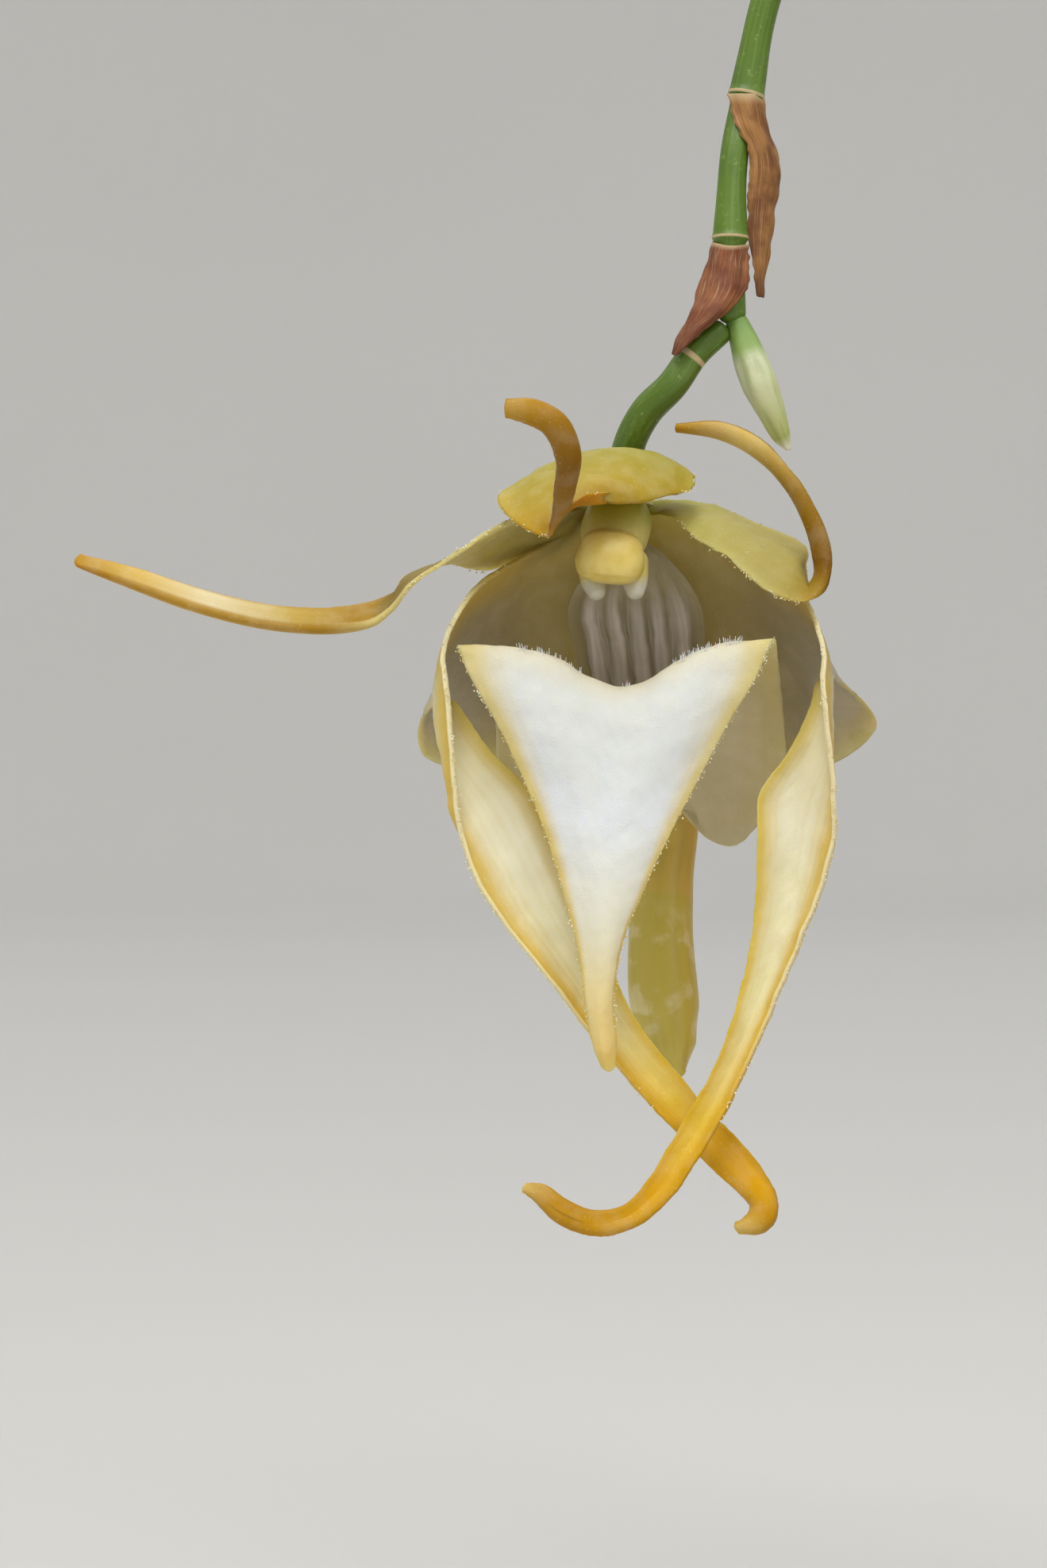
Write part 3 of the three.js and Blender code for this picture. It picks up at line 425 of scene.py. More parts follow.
bark = Finish("fir bark", bark_brown)
layer = bark.noise(1.6, 5, 0.8)
grain = bark.noise(0.35, 3)
bark.paint(bark.noise(7, 4).over(0.38, 0.62), bark_red)
bark.paint(bark.noise(13, 3).over(0.5, 0.64) * 0.45, bark_grey)
bark.paint(layer.over(0.52, 0.36), bark_dark)
bark.paint(grain.over(0.6, 0.75) * 0.5, bark_pale)
bark_skin = bark.done(0.92, layer * 0.7 + grain * 0.3, 0.6)

plug_profile = [(0, 9), (33, 9), (46.5, 76), (plug_radius, 84.5), (0, 84.5)]
plug_points, plug_faces, plug_places = lathe(fine_profile(plug_profile, 2.0), 90)
on_top = plug_points[:, 2] > 84
loose_top = plug_points[on_top]
plug_points[on_top, 2] += 1.1 * ripple(loose_top, 7, 21) + 0.5 * ripple(loose_top, 2.5, 22)
draw = seeded(chip_seed)
chips = [bark_chip(draw, 100 + k) for k in range(chip_count)]
bark_chips = piece("bark_chips", [(plug_points, plug_faces, plug_places), *chips], bark_skin)
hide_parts("potting_medium")
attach(bark_chips, "root")

crumb_ground = bpy.data.meshes.new("crumb_ground")
disc = lathe([(0, 0), (plug_radius - 2, 0), (0, -0.01)], 40)
crumb_ground.from_pydata(((disc[0] + (0, 0, medium_top + 0.2)) * MM).tolist(), [],
                         [face for face in disc[1] if disc[0][face[0], 2] == 0])
bark_crumbs = grown("bark_crumbs", crumb_ground, bark_skin, strewn, {
    "Density": crumb_density, "Least size": crumb_least * MM, "Most size": crumb_most * MM,
    "Flatness": crumb_flatness, "Seed": crumb_seed})
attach(bark_crumbs, "root")


# The stem is short and upright, wrapped by the green bases of the leaves in two ranks.
# Each base ends in a joint where its leaf is seated.
leaf_count = 6
lowest_base = 101
base_step = 7
stem_route = [(0, 0, 84), (0, 0, 100), (0, 0, 133)]
stem_radii = [5.4, 4.8, 2.6]
sheath_radii = [3.4, 3.9, 3.2]
sheath_length = 18
sheath_reach = 8.5
sheath_lowest = 95
fan_heading = np.array([0.17, -0.985, 0])
stem_green = (112, 128, 58)
stem_dark = (92, 112, 46)
joint_brown = (122, 96, 52)
stem_pale = (164, 160, 98)


def curve(points, places):
    """Points of the smooth curve through the given ones, places running from 0 to 1."""
    points = np.asarray(points, float)
    padded = np.concatenate([2 * points[:1] - points[1:2], points, 2 * points[-1:] - points[-2:-1]])
    reach = np.asarray(places, float) * (len(points) - 1)
    first = np.clip(reach.astype(int), 0, len(points) - 2)
    share = (reach - first).reshape(-1, *[1] * (points.ndim - 1))
    p0, p1, p2, p3 = (padded[first + k] for k in range(4))
    d0, d1, d2 = (np.sqrt(np.linalg.norm(b - a, axis=-1, keepdims=True))
                  for a, b in ((p0, p1), (p1, p2), (p2, p3)))
    d1 = np.where(d1 < 1e-4, 1, d1)
    d0 = np.where(d0 < 1e-4, d1, d0)
    d2 = np.where(d2 < 1e-4, d1, d2)
    leave = ((p1 - p0) / d0 - (p2 - p0) / (d0 + d1) + (p2 - p1) / d1) * d1
    reached = ((p2 - p1) / d1 - (p3 - p1) / (d1 + d2) + (p3 - p2) / d2) * d1
    bend = -3 * p1 + 3 * p2 - 2 * leave - reached
    twist = 2 * p1 - 2 * p2 + leave + reached
    return p1 + leave * share + bend * share ** 2 + twist * share ** 3


def limb(route, radii, rings, sides, dome=0.7, relief=None):
    """A closed round shell along a route, a radius at each point, its ends domed."""
    t = np.linspace(0, 1, rings + 1)
    line = curve(route, t)
    radius = np.interp(t, np.linspace(0, 1, len(radii)), radii)
    for _ in range(rings // 12):
        radius[1:-1] = (radius[:-2] + 2 * radius[1:-1] + radius[2:]) / 4
    ahead = np.gradient(line, axis=0)
    ahead /= np.linalg.norm(ahead, axis=1, keepdims=True)
    cap = np.radians([75, 60, 40, 20])
    line = np.concatenate([line[0] - dome * radius[0] * np.sin(cap)[:, None] * ahead[0], line,
                           line[-1] + dome * radius[-1] * np.sin(cap[::-1])[:, None] * ahead[-1]])
    radius = np.concatenate([radius[0] * np.cos(cap), radius, radius[-1] * np.cos(cap[::-1])])
    full = np.concatenate([np.zeros(4), t, np.ones(4)])
    ahead = np.concatenate([ahead[:1]] * 4 + [ahead] + [ahead[-1:]] * 4)
    turn = np.linspace(0, 2 * np.pi, sides, endpoint=False)
    side = np.array([0, 1.0, 0]) if abs(ahead[0, 1]) < 0.9 else np.array([1.0, 0, 0])
    points = []
    for place, way, r, at in zip(line, ahead, radius, full):
        side = side - way * (side @ way)
        side /= np.linalg.norm(side)
        up = np.cross(way, side)
        out = np.cos(turn)[:, None] * side + np.sin(turn)[:, None] * up
        reach = r + (relief(at, turn) * min(1, r) if relief else 0) * np.ones(sides)
        points.append(place + out * reach[:, None])
    total = len(points)
    points = np.concatenate(points + [line[:1] - 0.05 * radius[0] * ahead[0],
                                      line[-1:] + 0.05 * radius[-1] * ahead[-1]])
    number = np.arange(total * sides).reshape(total, sides)
    after = np.roll(number, -1, axis=1)
    faces = np.stack([number[:-1], after[:-1], after[1:], number[1:]], -1).reshape(-1, 4).tolist()
    first, last = total * sides, total * sides + 1
    faces += [[first, int(after[0, s]), int(number[0, s])] for s in range(sides)]
    faces += [[last, int(number[-1, s]), int(after[-1, s])] for s in range(sides)]
    around = np.tile(turn / (2 * np.pi), total)
    places = np.stack([around, np.repeat(full, sides), np.zeros(total * sides)], -1)
    return points, faces, np.concatenate([places, [[0, 0, 0], [0, 1, 0]]])


def leaf_side(k):
    return -1 if k % 2 else 1


def leaf_base_height(k):
    return lowest_base + base_step * k


bases = Finish("leaf bases", stem_green)
bases.paint(bases.noise(6, 3).over(0.35, 0.7), stem_dark)
bases.paint(bases.place(1).over(0.35, 0.0), stem_pale)
bases.paint(bases.place(1).over(0.93, 0.985) * 0.7, joint_brown)
stem_skin = bases.done(0.5, bases.fibres(40, 2) * 0.5 + bases.noise(0.8, 3) * 0.5, 0.12)
stem_shells = [limb(stem_route, stem_radii, 40, 32)]
for k in range(leaf_count):
    out = fan_heading * leaf_side(k) * sheath_reach
    high = leaf_base_height(k)
    foot = max(high - sheath_length, sheath_lowest)
    route = [(0, 0, foot - 4), out * 0.4 + (0, 0, foot + 0.5 * (high - foot)), out * 0.97 + (0, 0, high)]
    stem_shells.append(limb(route, sheath_radii, 30, 30, 0.35))
stem = piece("leaf_bases", stem_shells, stem_skin)
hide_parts("stem")
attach(stem, "root")


# The leaves are leathery straps, folded along a sunk midrib near the base, that arch over
# and end in two uneven lobes. Fine parallel veins run lengthwise, paler underneath.
leaves = [
    {"length": 150, "width": 30, "rise": 14, "bend": 62, "yaw": 0.16},
    {"length": 168, "width": 32, "rise": 20, "bend": 66, "yaw": -0.1},
    {"length": 178, "width": 33, "rise": 36, "bend": 68, "yaw": -0.12},
    {"length": 172, "width": 33, "rise": 44, "bend": 62, "yaw": 0.12},
    {"length": 150, "width": 31, "rise": 58, "bend": 52, "yaw": 0.05},
    {"length": 96, "width": 24, "rise": 68, "bend": 26, "yaw": -0.04},
]
leaf_seat = 0.8
lobe_long = 6
lobe_short = 2
leaf_along = 130
leaf_across = 36
leaf_thick = 1.1
leaf_margin = 0.18
midrib_depth = 0.35
vein_height = 0.035
fold_open = 13
fold_closed = 52
leaf_green = (62, 96, 38)
leaf_deep = (40, 70, 28)
leaf_under = (104, 130, 66)
leaf_vein = (92, 124, 56)
leaf_tip = (120, 98, 52)
leaf_dust = (170, 172, 150)


def tissue(grid, front, back):
    """A closed thin shell front and back of a grid of points, as thick as given there."""
    rows, columns = grid.shape[:2]
    out = np.cross(np.gradient(grid, axis=0), np.gradient(grid, axis=1))
    out /= np.maximum(np.linalg.norm(out, axis=2, keepdims=True), 1e-9)
    points = np.concatenate([grid + out * front[..., None], grid - out * back[..., None]]).reshape(-1, 3)
    number = np.arange(rows * columns).reshape(rows, columns)
    faces = np.stack([number[:-1, :-1], number[1:, :-1], number[1:, 1:], number[:-1, 1:]], -1)
    faces = faces.reshape(-1, 4)
    behind = rows * columns
    rim = np.concatenate([number[:, 0], number[-1, 1:], number[-2::-1, -1], number[0, -2:0:-1]])
    onward = np.roll(rim, -1)
    edge = np.stack([rim, rim + behind, onward + behind, onward], -1)
    faces = np.concatenate([faces, faces[:, ::-1] + behind, edge])
    v, u = np.meshgrid(np.linspace(0, 1, columns), np.linspace(0, 1, rows))
    places = np.concatenate([np.stack([v, u, 0 * u + side], -1).reshape(-1, 3) for side in (1, -1)])
    return points, faces.tolist(), places


def thin_to_margin(rows, columns, middle, margin):
    """Half a sheet's thickness: full in the middle, thin at its margins and its tip."""
    v = np.linspace(-1, 1, columns) ** 4
    u = np.linspace(0, 1, rows) ** 24
    return margin + (middle - margin) * (1 - v[None, :]) * (1 - u[:, None])


def leaf_grid(length, width, rise, bend, yaw, k):
    """The CAD leaf's own formula, on a finer grid."""
    across_fan = np.array([math.cos(yaw), math.sin(yaw)])
    x, y = fan_heading[:2] * leaf_side(k)
    heading = np.array([x * across_fan[0] - y * across_fan[1], x * across_fan[1] + y * across_fan[0], 0])
    sideways = np.cross((0, 0, 1), heading)
    fine = 400
    angles = np.radians(rise - bend * ((np.arange(fine) + 0.5) / fine) ** 1.4)
    steps = np.cos(angles)[:, None] * heading + np.sin(angles)[:, None] * np.array([0, 0, 1])
    start = heading * (sheath_reach + leaf_seat - 1.4) + (0, 0, leaf_base_height(k) + leaf_seat - 0.4)
    midline = start + np.concatenate([np.zeros((1, 3)), np.cumsum(steps * length / fine, axis=0)])
    u = np.linspace(0, 1, leaf_along + 1)[:, None]
    w = np.linspace(-1, 1, leaf_across + 1)[None, :]
    lobe = np.where(w < 0, lobe_long, lobe_short)
    lobe_shape = lobe * np.sin(np.pi * np.minimum(1, 1.25 * np.abs(w))) - 5 * w ** 6
    s = np.clip(u * (1 - lobe_long / length) + lobe_shape / length * u ** 10, 0, 1)
    where = np.linspace(0, 1, fine + 1)
    place = np.stack([np.interp(s, where, midline[:, axis]) for axis in range(3)], -1)
    angle = np.radians(rise - bend * s ** 1.4)[..., None]
    over = -np.sin(angle) * heading + np.cos(angle) * np.array([0, 0, 1])
    broad = 0.24 + 0.76 * np.minimum(1, s / 0.4) ** 0.7
    half = 0.5 * width * broad * (1 - 0.34 * np.maximum(0, (s - 0.5) / 0.5) ** 2)
    fold = np.radians(fold_closed * (1 - np.minimum(1, s / 0.3)) ** 1.5 + fold_open)
    rise_of_fold = half * np.sin(fold) * (np.abs(w) - 0.25 * (1 - w * w))
    grid = place + sideways * (half * w * np.cos(fold))[..., None] + over * rise_of_fold[..., None]
    waves = 0.5 * np.abs(w) ** 3 * ripple(place, 34, 60 + k)
    return grid + over * waves[..., None]


blade = Finish("orchid leaf", leaf_green)
upper = blade.place(2).over(-0.2, 0.2)
veins = blade.fibres(70, 2).over(0.4, 0.7)
dust = blade.noise(3, 5).over(0.58, 0.78)
blade.paint(blade.noise(12, 4).over(0.3, 0.7), leaf_deep)
blade.paint(veins * 0.22, leaf_vein)
blade.paint((blade.place(0) * 2 - 1).size().over(0.09, 0.0) * 0.35, leaf_deep)
blade.paint((1 - upper) * 0.75, leaf_under)
blade.paint(blade.place(1).over(0.1, 0.0) * 0.6, stem_pale)
blade.paint(blade.place(1).over(0.965, 1.0) * blade.noise(5, 3).over(0.35, 0.6) * 0.7, leaf_tip)
blade.paint(dust * upper * 0.12, leaf_dust)
leaf_skin = blade.done(0.36 + dust * 0.2, veins * 0.5 + blade.noise(1.2, 3) * 0.5, 0.1,
                       Coat_Weight=0.15, Coat_Roughness=0.3)
for k, sizes in enumerate(leaves):
    grid = leaf_grid(**sizes, k=k)
    half = thin_to_margin(leaf_along + 1, leaf_across + 1, leaf_thick / 2, leaf_margin)
    w = np.linspace(-1, 1, leaf_across + 1)[None, :]
    groove = midrib_depth * np.exp(-(w / 0.07) ** 2) + 0 * half
    veins = vein_height * np.cos(40 * np.pi * w) * (1 - np.abs(w) ** 3)
    shell = tissue(grid, half - groove + veins, half + groove * 1.3)
    leaf = piece(f"leaf_{k + 1}_strap", [shell], leaf_skin)
    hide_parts(f"leaf_{k + 1}")
    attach(leaf, "root")


# The roots are thick and silvery, a spongy coat over a thin wiry core. They leave the
# stem's foot, lie over the bark and dive into it; growing ends are green.
roots = [
    ([(4, 0.6, 92), (5.6, 1, 92.2), (14, 5, 93), (25, 10, 93.4), (36, 16, 90), (41, 19, 80)], 2),
    ([(-3, 2, 90.6), (-4.6, 3, 91), (-12, 11, 94), (-18, 23, 93.6), (-24, 34, 88), (-27, 38, 78)], 1.9),
    ([(-3, -2.6, 90.2), (-4.4, -4, 90.6), (-13, -12, 93), (-24, -20, 94), (-33, -22, 90),
      (-38, -23, 79)], 2),
    ([(1.4, -4, 90.8), (2, -5.8, 91), (8, -17, 93.5), (12, -29, 93), (12, -38, 86), (12, -41, 77)], 1.8),
]
velamen = (196, 198, 182)
velamen_dark = (150, 152, 128)
velamen_pale = (222, 222, 210)
root_green = (126, 146, 84)


coat = Finish("silvery root", velamen)
cloud = coat.noise(4, 4)
streak = coat.noise(0.7, 3)
coat.paint(cloud.over(0.35, 0.7), velamen_dark)
coat.paint(streak.over(0.55, 0.75) * 0.4, velamen_pale)
coat.paint(coat.noise(9, 2).over(0.5, 0.75) * 0.5, root_green)
coat.paint(coat.place(1).over(0.12, 0.0) * 0.6, root_green)
root_skin = coat.done(0.85, cloud * 0.4 + streak * 0.6, 0.25)
for k, (route, radius) in enumerate(roots):
    def knobbly(t, turn, k=k):
        spots = np.stack([np.cos(turn) * 2, np.sin(turn) * 2, 0 * turn + 50 * t + 9 * k], -1)
        return 0.14 * ripple(spots, 5, 70 + k) + 0.05 * ripple(spots, 1.6, 80 + k)

    radii = [radius * 0.8, radius, radius, radius, radius * 0.95, radius * 0.7]
    root = piece(f"root_{k + 1}_velamen", [limb(route, radii, 110, 28, relief=knobbly)], root_skin)
    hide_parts(f"root_{k + 1}")
    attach(root, "root")


# The flower stalk is thin, wiry and green. It rises beside the leaves, arches over and
# hangs down to the fork, with a pale ring where each bract is joined to it.
flower_at = np.array([-105.0, -22, 112])
stalk_route = [
    (98.7, 21.4, -9), (91, 18, 9), (74, 12, 35), (54, 7, 53), (36, 3.5, 60), (22, 2.4, 54),
    (13.6, 2.8, 44), (10.9, 3, 37.3), (9.4, 3, 30), (8.4, 2, 25), (8.1, 1.5, 18.8), (8.1, 1.3, 15.1),
    (8.2, 1.2, 12.9),
]
stalk_radii = [1.6, 1.3, 1.15, 1.15, 1.15, 1.15, 1.15, 1.15, 1.12, 1.1, 1.12, 1.15, 1.1]
stalk_rings = [8 / 12, 10 / 12]
stalk_green = (94, 124, 32)
stalk_shade = (80, 110, 32)
stalk_speck = (150, 172, 96)
stalk_streak = (132, 158, 84)
stalk_ring_width = 0.0022
ring_tan = (196, 172, 132)


def stalk_finish(name, rings, ring_width, green):
    """Green wiry stalk; rings are the pale joints, as shares of its length."""
    stalk = Finish(name, green)
    speck = stalk.noise(0.35, 3)
    streak = stalk.fibres(22, 8)
    stalk.paint(stalk.noise(5, 3).over(0.3, 0.7), stalk_shade)
    stalk.paint(speck.over(0.6, 0.75) * 0.5, stalk_speck)
    band = 0
    for ring in rings:
        band = (stalk.place(1) - ring).size().over(ring_width, ring_width * 0.6) + band
    stalk.paint(band.held(), ring_tan)
    stalk.paint(streak.over(0.45, 0.7) * 0.3, stalk_streak)
    return stalk.done(0.42, streak * 0.6 + speck * 0.4, 0.05, Subsurface_Weight=0.15,
                      Subsurface_Radius=(0.6, 1, 0.3), Subsurface_Scale=0.6 * MM)


def ringed(t, turn):
    """The stalk flares towards each joint, where a thin ring stands out."""
    relief = 0.02 * np.cos(turn * 8)
    for ring in stalk_rings:
        reach = 0.035 if t < ring else 0.008
        relief = relief + 0.1 * math.exp(-((t - ring) / 0.0035) ** 2)
        relief = relief + 0.24 * math.exp(-((t - ring) / reach) ** 2)
    return relief


def in_flower(shell):
    """A shell moved from the flower's joint to its place in the plant."""
    points, faces, places = shell
    return points + flower_at, faces, places


stalk_skin = stalk_finish("flower stalk", stalk_rings, stalk_ring_width, stalk_green)
stalk_shell = limb(stalk_route, stalk_radii, 420, 28, relief=ringed)
flower_stalk = piece("flower_stalk_wire", [in_flower(stalk_shell)], stalk_skin)
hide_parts("flower_stalk")
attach(flower_stalk, "root")


# Dry papery sheaths clasp the upper stalk and two bracts cover the fork. They are thin,
# tan to red-brown and split along one side, with fine lengthwise fibres.
sheath_places = [(0.12, 0.19), (0.26, 0.325), (0.39, 0.45), (0.51, 0.565)]
upper_bract_rows = [
    [(7.9, 2.2, 30), (9.1, 1.3, 29.9), (10.8, 3, 30), (9.3, 4.7, 30.2), (8.1, 3.9, 30.1)],
    [(8.5, 1.2, 27.5), (9.9, 1.2, 27.3), (11, 3.2, 27.6), (10.4, 5, 27.9), (8.9, 5, 28)],
    [(9.4, 1, 25.8), (10.7, 1.6, 25.7), (11.6, 3.4, 25.9), (10.8, 5, 26.1), (9.5, 5.2, 26.2)],
    [(9.6, 1.2, 24.4), (11, 1.8, 24.5), (12, 3.4, 24.8), (11.2, 5, 24.9), (9.8, 5.2, 25)],
    [(9.4, 1.6, 21.2), (10.7, 1.8, 21.1), (11.6, 3, 21.1), (10.8, 4.4, 21.3), (9.7, 4.8, 21.5)],
    [(9.6, 1.6, 18.1), (10.4, 1.8, 17.8), (11.2, 2.6, 17.7), (10.6, 3.6, 17.9), (9.9, 4, 18.2)],
    [(10, 1.8, 15.8), (10.4, 2, 15.7), (10.8, 2.4, 15.6), (10.5, 3, 15.7), (10.2, 3.2, 15.8)],
    [(10.1, 2, 14.4), (10.4, 2, 14.3), (10.7, 2.2, 14.3), (10.6, 2.5, 14.3), (10.2, 2.6, 14.4)],
]
lower_bract_rows = [
    [(9.5, 1.2, 18.3), (8.1, -0.3, 18), (6.7, 1.4, 18.5), (7.7, 3.1, 18.8), (8.9, 3.1, 18.8)],
    [(9.5, 0.9, 16.9), (8, -0.5, 16.6), (6.3, 1.2, 16.9), (7.2, 3.2, 17.2), (8.5, 3.4, 17.3)],
    [(9.4, 0.4, 15), (7.7, -1, 14.8), (5.7, 0.6, 15.2), (6.6, 2.8, 15.5), (7.7, 3.4, 15.5)],
    [(8.1, -0.7, 13.2), (6.8, -1.7, 12.8), (5.1, -0.4, 13.1), (5.7, 1.6, 13.4), (6.4, 2.6, 13.6)],
    [(6.3, -1.3, 11.7), (5.5, -1.7, 11.5), (4.5, -0.8, 11.6), (4.5, 0.6, 11.9), (4.8, 1.6, 12.1)],
    [(4.8, -1.4, 10.3), (4.5, -1.5, 10.3), (3.9, -1.2, 10.5), (3.8, -0.6, 10.6), (4, 0, 10.7)],
    [(4, -1.3, 9.6), (3.8, -1.3, 9.5), (3.6, -1.1, 9.6), (3.6, -0.8, 9.8), (3.7, -0.5, 9.9)],
]
bract_thick = 0.16
bract_tan = (160, 112, 58)
bract_brown = (112, 66, 26)
bract_rust = (150, 92, 50)
bract_red = (112, 58, 30)
bract_fibre = (212, 176, 132)
bract_tip = (92, 50, 28)
bract_margin = 0.03
bract_along = 110
bract_across = 48
sheath_along = 30
sheath_across = 40
sheath_half_turn = 2.7
sheath_slant = 0.35
sheath_radius = 1.55
sheath_flare = 0.7
ragged_columns = 3


def evenly(points, places):
    """Points evenly spaced along the smooth curve through the given ones."""
    t = np.linspace(0, 1, 201)
    line = curve(points, t)
    run = np.concatenate([[0], np.cumsum(np.linalg.norm(np.diff(line, axis=0), axis=1))])
    return curve(points, np.interp(np.asarray(places) * run[-1], run, t))


def surface(rows, along, across):
    """A fine grid over the smooth surface through rows of points, eased twice."""
    across_places = np.linspace(0, 1, across + 1)
    rungs = np.stack([evenly(row, across_places) for row in rows])
    grid = curve(rungs, np.linspace(0, 1, along + 1))
    for _ in range(2):
        grid[1:-1] = (grid[:-2] + 2 * grid[1:-1] + grid[2:]) / 4
        grid[:, 1:-1] = (grid[:, :-2] + 2 * grid[:, 1:-1] + grid[:, 2:]) / 4
    return grid


def ragged(grid, amount, wavelength, seed):
    """Uneven margins: both edges of a grid moved in and out a little."""
    grid = grid.copy()
    for edge, inner in ((0, 1), (-1, -2)):
        out = grid[:, edge] - grid[:, inner]
        out /= np.maximum(np.linalg.norm(out, axis=1, keepdims=True), 1e-9)
        shift = out * (amount * ripple(grid[:, edge], wavelength, seed))[:, None]
        for step in range(ragged_columns):
            column = step if edge == 0 else -1 - step
            grid[:, column] += shift * (1 - step / ragged_columns)
    return grid


def bract_finish(name, pale, dark):
    """Dry papery bract with lengthwise fibres, pale at its base and darker towards its tip."""
    paper = Finish(name, pale)
    along = paper.place(1)
    streak = paper.fibres(26, 1.6)
    fine = paper.fibres(80, 4)
    cloud = paper.noise(2.2, 4)
    paper.paint(cloud.over(0.35, 0.65), dark)
    paper.paint(streak.over(0.5, 0.68) * 0.6, dark)
    paper.paint(fine.over(0.52, 0.7) * 0.4, bract_fibre)
    paper.paint(along.over(0.05, 0.0) * 0.8, ring_tan)
    paper.paint(along.over(0.75, 1.0) * 0.6, bract_tip)
    return paper.done(0.7, streak * 0.5 + fine * 0.3 + cloud * 0.2, 0.15,
                      Subsurface_Weight=0.1, Subsurface_Scale=0.4 * MM)


tan_paper = bract_finish("tan bract", bract_tan, bract_brown)
red_paper = bract_finish("red-brown bract", bract_rust, bract_red)
for name, node_name, rows, paper, seed in (
        ("upper_bract_paper", "upper_bract", upper_bract_rows, tan_paper, 31),
        ("lower_bract_paper", "lower_bract", lower_bract_rows, red_paper, 37)):
    grid = ragged(surface(rows, bract_along, bract_across), 0.08, 0.9, seed)
    v = np.linspace(0, 1, bract_across + 1)[None, :]
    creases = 0.05 * ripple(grid, 1.8, seed) + 0.04 * np.sin(24 * v + ripple(grid, 3, seed + 1))
    half = thin_to_margin(bract_along + 1, bract_across + 1, bract_thick / 2, bract_margin)
    bract = piece(name, [in_flower(tissue(grid, half + creases, half - creases))], paper)
    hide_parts(node_name)
    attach(bract, "root")

for k, (start, end) in enumerate(sheath_places):
    turn = np.linspace(-sheath_half_turn, sheath_half_turn, sheath_across + 1)
    mouth = end - (end - start) * sheath_slant * (1 - np.cos(turn)) / 2
    u = np.linspace(0, 1, sheath_along + 1)[:, None]
    t = start + (mouth - start) * u
    line = curve(stalk_route, t.ravel()).reshape(*t.shape, 3)
    ahead = curve(stalk_route, t.ravel() + 1e-4).reshape(*t.shape, 3) - line
    side = np.cross((0, 1, 0), ahead)
    side /= np.linalg.norm(side, axis=2, keepdims=True)
    front = np.cross(ahead, side)
    front /= np.linalg.norm(front, axis=2, keepdims=True)
    uneven = 0.12 * ripple(line + side * np.cos(turn)[None, :, None], 4, 40 + k)
    wide = sheath_radius + sheath_flare * u ** 2 + uneven
    grid = line + (wide * np.cos(turn))[..., None] * side + (wide * np.sin(turn))[..., None] * front
    half = thin_to_margin(*t.shape, bract_thick / 2, bract_margin)
    creases = 0.05 * np.sin(turn * 9)[None, :] + 0 * half
    sheath = piece(f"dry_sheath_{k + 1}_paper", [in_flower(tissue(grid, half + creases, half - creases))],
                   tan_paper)
    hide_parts(f"dry_sheath_{k + 1}")
    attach(sheath, "root")


# The pedicel leaves the lower bract and bends down behind the flower, where it is the
# ovary. The young bud stands on its own short green stalk, wrapped in a pale sheath.
pedicel_route = [
    (7.1, 1, 11.5), (5.3, 0.6, 9.8), (3.6, 0.6, 7.4), (1.7, 1.4, 5.5), (0.5, 2.4, 3.4),
    (0, 3.5, 1.3), (-0.3, 3.9, -0.6), (-0.4, 3.4, -2), (-0.5, 2.6, -3),
]
pedicel_radii = [1.1, 1.15, 1.2, 1.25, 1.25, 1.3, 1.3, 1.3, 1.2]
bud_route = [
    (8.6, 1.2, 12.2), (9.1, 1, 10.9), (9.7, 0.8, 9.2), (10.4, 0.6, 7.4), (11.2, 0.6, 5.5),
    (12, 0.8, 3.6), (12.5, 1, 2.6),
]
bud_radii = [0.9, 1.1, 1.35, 1.4, 1.1, 0.7, 0.3]
pedicel_green = (84, 108, 8)
pedicel_rings = [0.14]
pedicel_ring_width = 0.012
bud_along = [
    (0.0, (112, 146, 66)), (0.24, (140, 168, 92)), (0.34, (204, 208, 174)), (0.62, (196, 200, 152)),
    (0.85, (176, 184, 104)), (0.97, (236, 236, 214)),
]
bud_vein = (146, 168, 92)
bud_blush = (206, 160, 150)


def bud_folds(t, turn):
    """The sheath's overlapping edge and lengthwise folds."""
    lap = 0.16 * np.exp(-((turn - 2.6 - 2.2 * t) / 0.35) ** 2)
    return lap * (0.3 < t < 0.97) + 0.05 * np.cos(turn * 5 + 3 * t) * math.sin(math.pi * t)


pedicel_skin = stalk_finish("pedicel", pedicel_rings, pedicel_ring_width, pedicel_green)
pedicel = piece("pedicel_green", [in_flower(limb(pedicel_route, pedicel_radii, 120, 28))], pedicel_skin)
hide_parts("pedicel_and_ovary")
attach(pedicel, "root")

scales = Finish("young bud", bud_vein)
along = scales.place(1)
streak = scales.fibres(9, 2)
scales.colour = scales.ramp(bud_along, along)
scales.paint(streak.over(0.48, 0.64) * 0.5, bud_vein)
blush = scales.noise(1.5, 3).over(0.52, 0.7) * along.over(0.3, 0.45) * along.over(0.75, 0.6)
scales.paint(blush * 0.25, bud_blush)
bud_skin = scales.done(0.45, streak * 0.5 + scales.noise(0.4, 2) * 0.5, 0.06, Subsurface_Weight=0.3,
                       Subsurface_Radius=(1, 1, 0.6), Subsurface_Scale=0.7 * MM)
bud = piece("young_bud", [in_flower(limb(bud_route, bud_radii, 120, 36, relief=bud_folds))], bud_skin)
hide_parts("bud")
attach(bud, "root")


